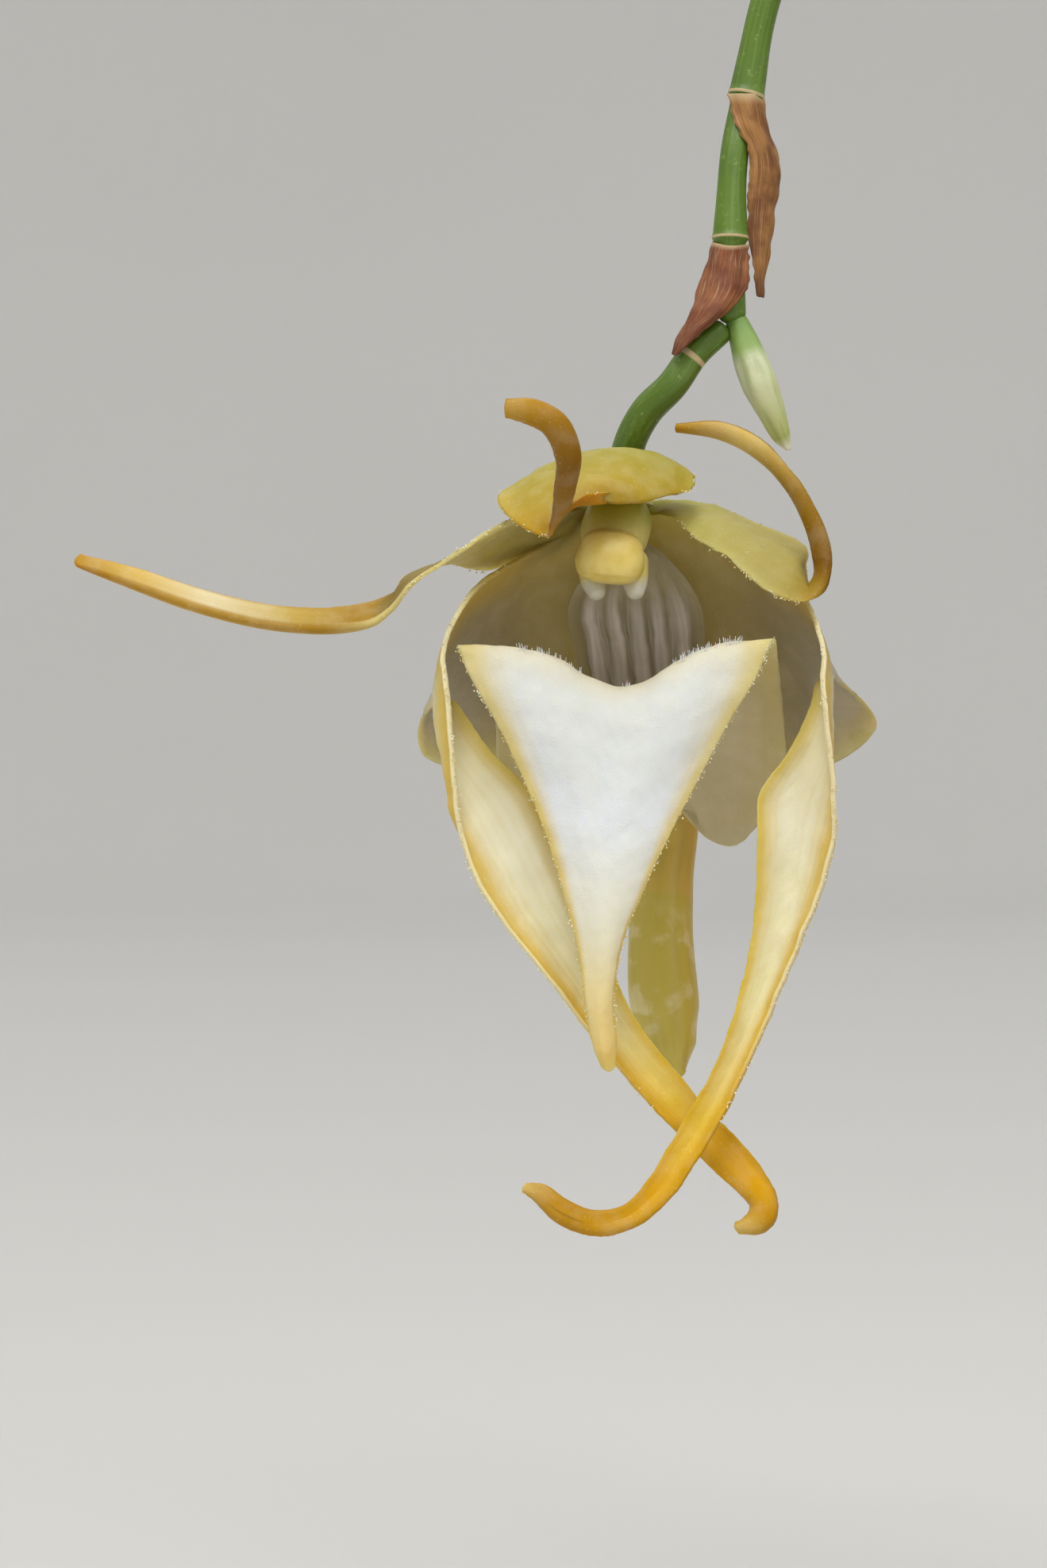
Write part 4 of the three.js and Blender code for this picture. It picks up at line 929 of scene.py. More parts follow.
# The dorsal sepal hoods the column and runs out in a tail that curves up towards the
# viewer; the two petals reach out to the sides. All three are fleshy and yellow, deeper
# to orange in their tails, with glistening cells along their margins.
dorsal_rows = [
    [(-1, 1.6, -0.9), (0.2, 2.2, -0.5), (1.3, 1.6, -0.9)],
    [(-4.5, -0.6, -1.3), (-2.4, 0.4, 0.6), (-0.2, 0.7, 1.1), (2.3, 0.4, 0.6), (4.2, -0.4, -1)],
    [(-9, -3.4, -0.9), (-5.4, -3.6, 1.2), (-0.9, -3.2, 2.2), (3.1, -2.6, 1.6), (5.2, -2.2, 0.3)],
    [(-9.7, -6.6, -2.1), (-6, -7, -0.4), (-1.5, -6.8, 0.6), (2.5, -5.4, 0), (5, -3.6, -0.8)],
    [(-8.1, -9.4, -3.9), (-5.6, -9.8, -2.6), (-2.2, -9.6, -0.8), (1.3, -8, -1.8), (3.4, -5.6, -1.3)],
    [(-6.1, -11.4, -4.8), (-5.1, -12, -3.4), (-2.9, -11.4, -1.6)],
    [(-5.8, -13.6, -4.1), (-5.1, -14, -3.3), (-4.2, -13.6, -2.4)],
    [(-5.6, -17.6, -1.6), (-4.8, -18, -1.5), (-4, -17.6, -1.3)],
    [(-5.5, -20, 0.5), (-4.6, -20.4, 0.8), (-3.7, -20, 1.1)],
    [(-6.4, -21, 2.3), (-5.6, -21.4, 2.9), (-4.8, -21, 3.5)],
    [(-7.8, -21, 3), (-7.4, -21.4, 3.8), (-7.1, -21, 4.7)],
    [(-9.1, -20.6, 3.4), (-9.2, -20.6, 4.1), (-9.1, -20.6, 4.8)],
]
left_petal_rows = [
    [(-2.5, 1.6, -1.7), (-2.6, 2.2, -2.1), (-2.5, 2.9, -2.5)],
    [(-5.1, -2.6, -2.7), (-5.2, 0, -3.4), (-4.9, 2.4, -4.9)],
    [(-8.4, -5, -3.2), (-8.6, -2.2, -4.2), (-8.3, 0.9, -6.2)],
    [(-11.4, -6.8, -4.8), (-11.6, -3.4, -5.6), (-11.2, 0.1, -6.9)],
    [(-13.8, -7.4, -6.5), (-14.1, -4, -6.5), (-13.6, -0.4, -6.3)],
    [(-16.2, -7.6, -8.2), (-16.6, -5, -7.8), (-17, -3, -7.6)],
    [(-17.8, -7.2, -10.2), (-17.9, -5.4, -9.4), (-17.6, -4.4, -8.6)],
    [(-19.3, -7, -11.3), (-19.5, -5.6, -10.3), (-19.3, -5, -9.4)],
    [(-22.2, -6.6, -11.7), (-22.3, -5.4, -10.8), (-22.4, -5, -9.9)],
    [(-27, -6.2, -11.4), (-27, -5, -10.5), (-26.9, -4.6, -9.7)],
    [(-32.4, -5.8, -10.1), (-32.3, -4.6, -9.3), (-32.2, -4.2, -8.5)],
    [(-37.5, -5.4, -8.3), (-37.4, -4.6, -7.6), (-37.2, -4.2, -6.9)],
    [(-41.7, -5, -6.7), (-41.9, -4.6, -6.3), (-41.5, -4.4, -5.8)],
]
right_petal_rows = [
    [(1.6, 3.2, -1.4), (1.7, 2.6, -1.9), (1.6, 1.9, -2.4)],
    [(5.1, 1, -1.6), (4.5, -1, -2.3), (3.8, -2.4, -3.1)],
    [(7.3, 0.6, -2.1), (6.5, -2.4, -3.4), (5.5, -4, -4.8)],
    [(9.6, 0, -3.2), (8.6, -3.6, -4.7), (7.5, -5.2, -6)],
    [(11.9, -0.6, -4.1), (10.7, -4.6, -6.1), (9.2, -6.2, -7.6)],
    [(13.6, -1.4, -5.1), (12.5, -5.2, -7), (10.9, -7, -8.9)],
    [(13.6, -3, -6.6), (13.1, -5.6, -8.1), (12.5, -7, -9.5)],
    [(13.8, -4.6, -8.2), (13.7, -6, -8.8), (13.7, -6.8, -9.4)],
    [(14.3, -4.6, -7.4), (14.7, -5.8, -8), (15, -6.2, -8.6)],
    [(14.4, -4, -5.9), (15, -5.2, -6.1), (15.5, -5.2, -6.5)],
    [(13.8, -3.6, -3.3), (14.4, -4.6, -3.7), (15.1, -4.6, -4)],
    [(12.2, -3.2, -0.3), (12.8, -4.2, -0.6), (13.4, -4.2, -0.9)],
    [(9.5, -2.8, 2.1), (10, -3.8, 2.4), (10.5, -3.8, 2.8)],
    [(6.9, -2.6, 3.3), (7.1, -3.6, 3.8), (7.3, -3.6, 4.3)],
    [(3.8, -2.6, 3.6), (3.7, -3, 3.9), (3.8, -3, 4.2)],
]
petal_thick = 0.34
margin_thick = 0.05
petal_ragged = 0.02
cell_white = (255, 252, 240)
bloom_white = (255, 250, 232)


def flesh_finish(name, middle, margin, margin_from=0.62, centre=0.5, vein_share=0.15, glint=0.5,
                 back_shade=None, back_shade_share=0.0, soft=0.5, band=0.0, band_colour=(240, 230, 196),
                 shoulder=None):
    """Petal tissue. middle and margin are colours at shares of its length, and centre is where across it
    is palest; faint veins run lengthwise and cells glisten. The band is a pale strip along the first edge,
    and the shoulder a broad one inside it near the base.
    back_shade is painted shade: its colour is laid over the back face of the lower part, as much as
    back_shade_share."""
    flesh = Finish(name, cell_white)
    across = flesh.place(0)
    along = flesh.place(1)
    edge = flesh.ramp(margin, along)
    streak = flesh.fibres(16, 3)
    cloud = flesh.noise(1.8, 4)
    cells = flesh.noise(0.16, 2)
    sparkle = cells.over(0.66, 0.76) * glint
    from_centre = across - centre
    out = from_centre.math("MAXIMUM", from_centre * (-1 / centre), from_centre * (1 / (1 - centre)))
    out = out + (streak - 0.5) * 0.18
    flesh.colour = flesh.ramp(middle, along)
    flesh.paint(out.over(margin_from, 1.0) ** 1.5, edge)
    flesh.paint(streak.over(0.45, 0.7) * vein_share, edge)
    flesh.paint(cloud.over(0.42, 0.66) * 0.06, bloom_white)
    if back_shade:
        # Painted shade: the back face of the lower part takes the shaded colour.
        behind = flesh.place(2).over(0.2, -0.2)
        flesh.paint(behind * along.over(0.6, 0.5) * back_shade_share, back_shade)
    if shoulder:
        reach = across.over(0.28, 0.03) * along.over(0.03, 0.12) * along.over(0.5, 0.36)
        flesh.paint(reach * 0.8, shoulder)
    if band:
        strip = across.over(band, band * 0.5) * along.over(0.1, 0.2) * along.over(0.7, 0.55)
        flesh.paint(strip * 0.7, band_colour)
    flesh.paint(sparkle * 0.5, cell_white)
    height = cells * 0.4 + streak * 0.25 + cloud * 0.35
    return flesh.done(0.5 - sparkle * 0.3, height, 0.09, Specular_IOR_Level=0.22, Subsurface_Weight=soft,
                      Subsurface_Radius=(1.0, 0.85, 0.5), Subsurface_Scale=0.9 * MM)


def fleshy(rows, along, across, seed, thick=petal_thick, wavy=0.05, tail=1.0, rim=0.0):
    """A thin petal-like grid through rows, and how far its front and back stand from it.
    The tail part is thicker and rounder; rim thickens its first edge."""
    grid = ragged(surface(rows, along, across), petal_ragged, 0.5, seed)
    u = np.linspace(0, 1, along + 1)[:, None]
    v = np.linspace(0, 1, across + 1)[None, :]
    half = thin_to_margin(along + 1, across + 1, thick / 2, margin_thick / 2)
    width = np.linalg.norm(np.diff(grid, axis=1), axis=2).sum(1)[:, None]
    round_section = np.sqrt(np.maximum(0.02, 1 - (2 * v - 1) ** 2)) * np.minimum(0.36 * width, 0.75)
    share = np.clip((u - tail) / 0.15, 0, 1) * (1 - 0.9 * u ** 60)
    half = half * (1 - share) + round_section * share
    half = half + rim * np.exp(-(v * width / 0.45) ** 2) * (1 - share)
    uneven = wavy * ripple(grid, 2.6, seed + 1) + 0.4 * wavy * ripple(grid, 1.1, seed + 2)
    return grid, half, uneven * (1 - share)


# The back-face colours given to the dorsal sepal and both petals below are painted shade.
dorsal_skin = flesh_finish(
    "dorsal sepal",
    [(0.0, (140, 138, 52)), (0.2, (158, 148, 54)), (0.34, (172, 148, 44)), (0.46, (150, 108, 2)),
     (0.7, (130, 90, 0)), (0.85, (160, 116, 0)), (1.0, (180, 138, 6))],
    [(0.0, (170, 162, 80)), (0.25, (180, 160, 60)), (0.42, (176, 136, 14)), (0.6, (110, 70, 0)),
     (1.0, (158, 112, 2))],
    back_shade=(178, 116, 14), back_shade_share=0.6)
left_petal_skin = flesh_finish(
    "left petal",
    [(0.0, (150, 140, 70)), (0.3, (190, 176, 96)), (0.48, (170, 134, 24)), (0.62, (160, 122, 16)),
     # Painted highlight: the pale cream stop at 0.82 along stands in for the sheen on the tail.
     (0.72, (184, 156, 70)), (0.82, (214, 200, 158)), (0.91, (206, 174, 88)), (1.0, (176, 132, 18))],
    [(0.0, (176, 166, 96)), (0.35, (216, 204, 132)), (0.5, (160, 120, 12)), (0.7, (168, 128, 24)),
     (0.85, (182, 142, 48)), (1.0, (172, 124, 10))],
    back_shade=(104, 88, 30), back_shade_share=0.7, band=0.16, band_colour=(216, 204, 138))
right_petal_skin = flesh_finish(
    "right petal",
    # Painted light: the root stops at 0 and 0.15 are made lighter against the dorsal sepal's shade.
    [(0.0, (196, 196, 84)), (0.15, (196, 188, 108)), (0.32, (184, 172, 94)), (0.42, (176, 158, 62)),
     (0.5, (176, 140, 20)), (0.62, (124, 86, 0)), (0.78, (150, 112, 8)), (0.88, (206, 178, 96)),
     (1.0, (166, 124, 14))],
    [(0.0, (190, 190, 92)), (0.3, (206, 196, 122)), (0.48, (180, 148, 30)), (0.6, (92, 58, 0)),
     (0.8, (112, 76, 2)), (1.0, (134, 94, 4))],
    back_shade=(140, 122, 56), back_shade_share=0.4)
margins = []
for name, node_name, rows, along, across, skin, seed in (
        ("dorsal_sepal_flesh", "dorsal_sepal", dorsal_rows, 210, 64, dorsal_skin, 201),
        ("left_petal_flesh", "left_petal", left_petal_rows, 260, 44, left_petal_skin, 211),
        ("right_petal_flesh", "right_petal", right_petal_rows, 260, 44, right_petal_skin, 221)):
    grid, half, uneven = fleshy(rows, along, across, seed, tail=0.5, rim=0.12)
    margins += [(grid, 0, 0.08, 0.46), (grid, -1, 0.08, 0.46)]
    tepal = piece(name, [in_flower(tissue(grid, half + uneven, half - uneven))], skin)
    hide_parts(node_name)
    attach(tepal, "root")


# The lateral sepals form the dome round the lip. Each narrows to a strap that is pale
# along its middle, yellow at its margins and deep gold in the tail; the tails cross.
right_lateral_rows = [
    [(0.6, 2.6, -1.2), (1.8, 2.8, -5), (4.4, 3.8, -9), (5, 6.1, -14.1), (5, 10, -20.7)],
    [(5.7, 0.9, -2.9), (8, 2.6, -6.4), (9.4, 5.4, -10.3), (10.1, 8.4, -15.4), (9.1, 11.4, -23.1)],
    [(9.5, -0.6, -5.3), (10.9, 1.8, -8), (12, 4.8, -11.7), (13.2, 8, -16.1), (12.7, 11, -23.1)],
    [(12.6, -2.6, -7.7), (13.6, -0.4, -10), (14.5, 2.6, -13), (15.5, 6, -16.6), (16.5, 9.6, -21.7)],
    [(14.1, -4.8, -10.4), (14.8, -2.8, -11.9), (15.5, 0, -13.7), (17.1, 4.6, -15.9), (19.8, 8, -18.9)],
    [(14.7, -7.4, -12.9), (15.2, -5, -14.1), (15.5, -2, -14.8), (16.1, 0.6, -15.2), (17.7, 4, -16.1)],
    [(14.6, -9.4, -16.1), (15.3, -7, -15.9), (15.4, -4.6, -15.7), (15.2, -2.6, -15.4),
     (14.7, -1.2, -15.3)],
    [(14.8, -10, -18.9), (15.3, -8, -18.9), (15.2, -5.6, -18.4), (14.6, -4.2, -17.7), (13.9, -3.6, -17.5)],
    [(15.2, -10.4, -21.9), (15.4, -8.8, -21.9), (14.8, -6.8, -21.5), (13.5, -6.2, -20.9),
     (12.1, -7, -20.9)],
    [(15.4, -10.6, -24.9), (15.3, -9, -24.9), (13.8, -7.4, -24.7), (11.8, -7.4, -24.3), (9.9, -9, -24)],
    [(15.4, -10.6, -27.5), (13.1, -7.6, -27.6), (9.7, -9.6, -27.6)],
    [(14.5, -10.6, -30.8), (12.5, -8, -30.9), (9.6, -9.6, -31.1)],
    [(13, -10.6, -34.7), (11.5, -8.6, -34.7), (9.3, -9.6, -34.4)],
    [(11.5, -10.6, -38.2), (10.3, -9, -38.2), (8.6, -10, -37.9)],
    [(10, -10.8, -41.8), (9, -9.6, -41.5), (7.6, -10.6, -41.2)],
    [(8.5, -11.2, -45), (7.5, -10.2, -44.8), (6.4, -11, -44.4)],
    [(6.9, -11.8, -48.2), (5.8, -11, -48), (4.6, -11.6, -47.5)],
    [(5.2, -12.2, -51), (4.1, -11.6, -50.6), (3.1, -12, -50)],
    [(3.1, -12.6, -54), (2.4, -12, -53.2), (1.6, -12.4, -52.4)],
    [(0.5, -13, -56.1), (0.1, -12.4, -55.3), (-0.3, -12.8, -54.5)],
    [(-2.5, -13, -56.8), (-2.6, -12.6, -55.9), (-2.7, -13, -54.9)],
    [(-5.4, -13, -55.8), (-5.1, -12.6, -55), (-4.7, -13, -54.1)],
    [(-7.1, -12.6, -54.2), (-6.6, -12.4, -53.6), (-6.3, -12.6, -53)],
    [(-7.9, -12.4, -53.6), (-7.9, -12.4, -53.2), (-7.6, -12.4, -52.9)],
]
left_lateral_rows = [
    [(-1.6, 2.6, -1.4), (-2, 2.8, -5), (-3, 3.8, -9), (-2.4, 6.1, -14.1), (0.5, 10, -20.7)],
    [(-4.6, 1.5, -3.9), (-6, 2.2, -6.4), (-7.3, 4.6, -10.3), (-7.3, 7, -15.5), (-4.7, 9.8, -22.5)],
    [(-7.8, -1.4, -5.9), (-9.3, 0.4, -8.3), (-10.1, 3.2, -12), (-10.1, 6, -16.1), (-9, 8.6, -21.5)],
    [(-10.8, -4, -7.8), (-11.8, -2, -9.9), (-12.6, 1, -13.5), (-13, 4.6, -17.2), (-12.5, 8, -22)],
    [(-12.7, -6, -10.1), (-13.5, -4, -12.4), (-14, -1.4, -14.8), (-14.9, 3, -17.3), (-15.5, 6.6, -21.2)],
    [(-13.8, -7.4, -12.8), (-14.3, -5.4, -14.4), (-14.5, -2.8, -15.7), (-14.8, -0.4, -16.7),
     (-16, 4, -18.8)],
    [(-13.6, -9.4, -16), (-14.4, -7.4, -16.1), (-14.5, -5, -16.7), (-14.1, -3.4, -17.1),
     (-13.4, -2.4, -16.7)],
    [(-13.3, -10, -18.9), (-14.3, -8.6, -18.9), (-14.1, -6.4, -19.1), (-13.1, -5.4, -18.9),
     (-11.9, -5.4, -18.5)],
    [(-13, -10.4, -21.9), (-13.8, -9.2, -21.9), (-12.8, -7.2, -22.1), (-11.4, -6.8, -21.4),
     (-10.2, -7.2, -20.9)],
    [(-12.7, -10.4, -25.2), (-13.3, -9.6, -25.2), (-11.1, -7.6, -25.1), (-9, -7.2, -24.3),
     (-7.3, -7.8, -23.8)],
    [(-12, -10.6, -29), (-9, -8.2, -29.1), (-4.9, -8.2, -28.5)],
    [(-10.1, -10.6, -32.6), (-7.1, -8.6, -32.3), (-3.6, -8.6, -31.7)],
    [(-7.8, -10.4, -35.6), (-5.4, -8.8, -35), (-2.6, -8.8, -34.4)],
    [(-5.4, -10.2, -38.5), (-3.5, -8.8, -37.8), (-1.2, -8.8, -37.1)],
    [(-3.2, -9.8, -41.5), (-1.6, -8.6, -40.8), (0.1, -8.8, -40)],
    [(-0.9, -9.4, -44.3), (0.4, -8.4, -43.4), (1.7, -8.6, -42.5)],
    [(1.7, -9, -47.3), (2.8, -8.2, -46.2), (3.9, -8.4, -45.1)],
    [(4.1, -8.8, -49.8), (5, -8.2, -48.7), (5.9, -8.4, -47.6)],
    [(6.5, -9, -52.3), (7.2, -8.6, -50.9), (8, -8.8, -49.6)],
    [(8.3, -9.6, -53.9), (9.1, -9.2, -52.8), (10, -9.4, -52)],
    [(9, -11, -54.7), (10.1, -10.8, -54.1), (11.1, -10.6, -54.1)],
    [(8.9, -12.4, -55.1), (10, -12.4, -55.3), (10.9, -12.2, -55.8)],
    [(8.5, -14, -55.3), (9.1, -14.2, -55.9), (9.7, -14, -56.6)],
    [(8, -15, -55.6), (7.8, -15.2, -56), (8.1, -15, -56.5)],
]
lateral_middle = [
    (0.0, (188, 178, 126)), (0.12, (176, 170, 150)), (0.19, (176, 170, 150)), (0.3, (220, 210, 166)),
    (0.42, (230, 226, 202)), (0.58, (230, 222, 178)), (0.7, (222, 192, 68)), (0.8, (222, 170, 0)),
    (0.93, (194, 142, 0)), (1.0, (198, 170, 76)),
]
lateral_margin = [
    (0.0, (184, 168, 104)), (0.14, (172, 162, 118)), (0.26, (196, 178, 98)), (0.42, (208, 178, 82)),
    (0.6, (212, 176, 52)), (0.75, (202, 156, 6)), (0.9, (178, 130, 0)), (1.0, (186, 150, 44)),
]
lateral_skin = flesh_finish("lateral sepals", lateral_middle, lateral_margin, margin_from=0.12,
                            centre=0.62, vein_share=0.12, band=0.04, shoulder=(206, 176, 78))
for name, node_name, rows, seed in (
        ("left_lateral_flesh", "left_lateral_sepal", left_lateral_rows, 231),
        ("right_lateral_flesh", "right_lateral_sepal", right_lateral_rows, 241)):
    grid, half, uneven = fleshy(rows, 300, 60, seed, tail=0.75, rim=0.16)
    margins.append((grid, 0, 0.1, 0.7))
    lateral = piece(name, [in_flower(tissue(grid, half + uneven, half - uneven))], lateral_skin)
    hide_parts(node_name)
    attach(lateral, "root")


# The lip is hinged on the foot, rises behind, folds over at its crest and hangs in front
# as a broad white blade that runs out in a golden tongue. White hairs line the crest.
lip_rows = [
    [(3.6, 9.9, -25.4), (4.4, 9.6, -25.2), (5.2, 9.9, -25.4)],
    [(-3.1, 8.6, -26.8), (0.3, 9, -26), (3.9, 9.2, -25.1), (5.7, 9.1, -25.2), (6.4, 8.9, -27),
     (8.6, 8.6, -28), (10.6, 7.2, -26.1)],
    [(-9.4, 3.6, -22.5), (-3.5, 5, -21.8), (2.7, 5.6, -21.4), (8, 5, -21.8), (12.3, 4, -23.1)],
    [(-10.1, -1, -17.9), (-4.7, 0.2, -18.2), (1.1, 0.8, -18.4), (6.6, 0.2, -17.9), (12.1, -0.8, -18.4)],
    [(-11.9, -5, -14.3), (-6, -5.2, -15), (0, -4.4, -17), (5.7, -5, -14.3), (11.5, -4.6, -14.2)],
    [(-12.8, -7.8, -12.8), (-8.9, -8.6, -13.1), (-5.4, -9, -14), (-2.9, -8.8, -15.5), (-0.6, -8.6, -16.2),
     (1.5, -8.8, -15.7), (3.9, -9, -14.2), (6.6, -8.6, -13), (11, -7.8, -12.3)],
    [(-12, -9, -14.9), (-6, -10.4, -16.2), (-0.9, -10.2, -17.8), (4.2, -10.4, -16.2), (9.7, -9, -15.1)],
    [(-9.8, -9.8, -18.8), (-5.4, -11.2, -19.8), (-1.2, -11, -20.8), (3, -11.2, -19.8), (7.4, -9.8, -18.9)],
    [(-7.7, -10.4, -23.2), (-1.3, -11.8, -24.9), (5, -10.4, -23.4)],
    [(-6.1, -11, -27.2), (-1.4, -12.4, -28.7), (3, -11, -27.2)],
    [(-4.8, -11.6, -31.6), (-1.6, -12.8, -32.5), (1.1, -11.6, -31.2)],
    [(-3.8, -12.2, -35.5), (-1.9, -13, -36.1), (-0.5, -12.2, -35.3)],
    [(-3.3, -12.6, -39.2), (-2, -13.2, -39.6), (-1.1, -12.6, -39.1)],
    [(-2.8, -12.8, -42.3), (-1.9, -13.4, -42.6), (-0.9, -12.8, -42.4)],
    [(-2, -13, -44.3), (-1.5, -13.2, -44.6), (-1, -13, -44.3)],
]
lip_thick = 0.4
lip_along = 240
lip_across = 100
crest_row = 5
hair_runs = [(0.17, 0.4), (0.515, 0.54), (0.68, 0.9)]
hair_count = 130
hair_least = 0.35
hair_most = 0.75
hair_thick = 0.06
hair_lean = 0.3
hair_seed = 9

lip_skin = flesh_finish(
    "lip",
    [(0.0, (186, 174, 132)), (0.16, (196, 184, 146)), (0.3, (196, 186, 152)), (0.355, (216, 210, 186)),
     (0.42, (214, 217, 213)), (0.6, (219, 224, 228)), (0.74, (224, 222, 204)), (0.84, (224, 208, 154)),
     (0.94, (218, 190, 112)), (1.0, (212, 184, 106))],
    [(0.0, (180, 166, 118)), (0.3, (192, 174, 120)), (0.36, (212, 192, 126)), (0.5, (214, 192, 124)),
     (0.7, (216, 186, 106)), (1.0, (208, 172, 78))],
    margin_from=0.6, vein_share=0.03, glint=0.6, soft=0.55)
grid, half, uneven = fleshy(lip_rows, lip_along, lip_across, 251, thick=lip_thick, wavy=0.04)
margins += [(grid, 0, 0.36, 0.9), (grid, -1, 0.36, 0.9)]
lip = piece("lip_blade", [in_flower(tissue(grid, half + uneven, half - uneven))], lip_skin)
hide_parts("lip")
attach(lip, "root")


def bristling(tree, spots, low, high, width, sway, draw):
    """Tapered hairs on spots, each standing about along its own direction."""
    hair = node(tree, "GeometryNodeMeshCone", {},
                {"Vertices": 6, "Side Segments": 3, "Radius Top": 0.2, "Radius Bottom": 0.5, "Depth": 1.0})
    stand = node(tree, "GeometryNodeInputNamedAttribute", {"data_type": "FLOAT_VECTOR"}, {"Name": "stand"})
    shake = random_vector(tree, (-1, -1, -1), (1, 1, 1), draw)
    shake = node(tree, "ShaderNodeVectorMath", {"operation": "SCALE"}, {0: shake, "Scale": sway})
    way = node(tree, "ShaderNodeVectorMath", {"operation": "ADD"}, {0: stand, 1: shake})
    turn = node(tree, "FunctionNodeAlignRotationToVector", {"axis": "Z"}, {"Vector": way})
    length = random_number(tree, low, high, draw + 1)
    scale = node(tree, "ShaderNodeCombineXYZ", {}, {0: width, 1: width, 2: length})
    return node(tree, "GeometryNodeInstanceOnPoints", {},
                {"Points": spots, "Instance": hair, "Rotation": turn, "Scale": scale})


def dotted(name, spots):
    """A mesh of bare points, given in millimetres from the flower's joint."""
    mesh = bpy.data.meshes.new(name)
    mesh.from_pydata(((spots + flower_at) * MM).tolist(), [], [])
    return mesh


hair = Finish("lip hairs", (246, 246, 244))
pale = hair.noise(0.4, 1)
hair.paint(pale, (226, 230, 236))
hair_skin = hair.done(0.35, pale, 0.01, Subsurface_Weight=0.3, Subsurface_Scale=0.1 * MM)
crest = grid[round(crest_row / (len(lip_rows) - 1) * lip_along)]
random = np.random.default_rng(hair_seed)
lengths = np.array([end - start for start, end in hair_runs])
picks = random.choice(len(hair_runs), hair_count, p=lengths / lengths.sum())
shares = np.array([random.uniform(*hair_runs[pick]) for pick in picks])
across = np.linspace(0, 1, lip_across + 1)
spots = np.stack([np.interp(shares, across, crest[:, axis]) for axis in range(3)], -1)
spots += random.uniform((-0.05, -0.35, -0.1), (0.05, 0.35, 0.05), (hair_count, 3))
stands = np.stack([0.15 * (shares - 0.5), 0 * shares - 0.25, 0 * shares + 1], -1)
hair_spots = dotted("lip_hairs", spots)
hair_spots.attributes.new("stand", "FLOAT_VECTOR", "POINT").data.foreach_set("vector", stands.ravel())
lip_hairs = grown("lip_hairs", hair_spots, hair_skin, bristling, {
    "Least length": hair_least * MM, "Most length": hair_most * MM, "Thickness": hair_thick * MM,
    "Lean": hair_lean, "Seed": hair_seed})
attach(lip_hairs, "root")


# Swollen glassy cells stand along the margins of every petal, sepal and the lip. They are
# clear to pale yellow beads, a tenth of a millimetre across, and catch the light.
bead_least = 0.07
bead_most = 0.16
beads_per_mm = 7
bead_stray = 0.1
bead_seed = 15


def beading(tree, spots, low, high, draw):
    """Small round beads on spots."""
    bead = node(tree, "GeometryNodeMeshIcoSphere", {}, {"Radius": 0.5, "Subdivisions": 1})
    size = random_number(tree, low, high, draw)
    return node(tree, "GeometryNodeInstanceOnPoints", {},
                {"Points": spots, "Instance": bead, "Scale": size})


glass = Finish("glassy cells", (246, 240, 214))
pale = glass.noise(2.5, 2)
glass.paint(pale.over(0.35, 0.65), (222, 206, 146))
glass_skin = glass.done(0.22, pale, 0.005, Subsurface_Weight=0.4, Subsurface_Scale=0.15 * MM)
random = np.random.default_rng(bead_seed)
bead_spots = []
for grid, edge, start, end in margins:
    run = grid[:, edge]
    length = np.linalg.norm(np.diff(run, axis=0), axis=1)
    reach = np.concatenate([[0], np.cumsum(length)])
    places = random.uniform(start, end, int(beads_per_mm * reach[-1] * (end - start)))
    at = [np.interp(places, np.linspace(0, 1, len(run)), run[:, axis]) for axis in range(3)]
    bead_spots.append(np.stack(at, -1) + random.normal(0, bead_stray, (len(places), 3)))
bead_mesh = dotted("margin_beads", np.concatenate(bead_spots))
margin_beads = grown("margin_beads", bead_mesh, glass_skin, beading, {
    "Least size": bead_least * MM, "Most size": bead_most * MM, "Seed": bead_seed})
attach(margin_beads, "root")


# The column is a short green-topped post with a yellow cap over the pollen and two pale
# teeth below it. Its foot runs down behind as a ridged lilac-grey plate to the lip's hinge.
column_route = [
    (-0.5, 2.4, -2.9), (-0.6, 0, -3.2), (-0.9, -2.4, -4.2), (-1.1, -4.4, -5.3), (-1.2, -5.6, -6.1),
]
column_radii = [1.9, 2.65, 2.65, 2.2, 1.3]
cap_route = [(-1.2, -5, -5.5), (-1.25, -5.3, -6), (-1.3, -5.4, -6.5), (-1.35, -5.3, -7)]
cap_radii = [2.5, 2.66, 2.76, 2.66]
cap_dome = 0.4
tooth_routes = [
    ([(-2.5, -3.9, -6.6), (-2.5, -4.4, -7.9), (-2.25, -5, -8.8)], [1.3, 1, 0.68]),
    ([(0.3, -3.8, -6.4), (0.6, -4.3, -7.8), (0.65, -4.9, -8.75)], [1.4, 1.05, 0.7]),
]
neck_route = [(-0.4, 0.4, -3.4), (-0.2, 0.2, -6.2)]
neck_radii = [1.7, 1.2]
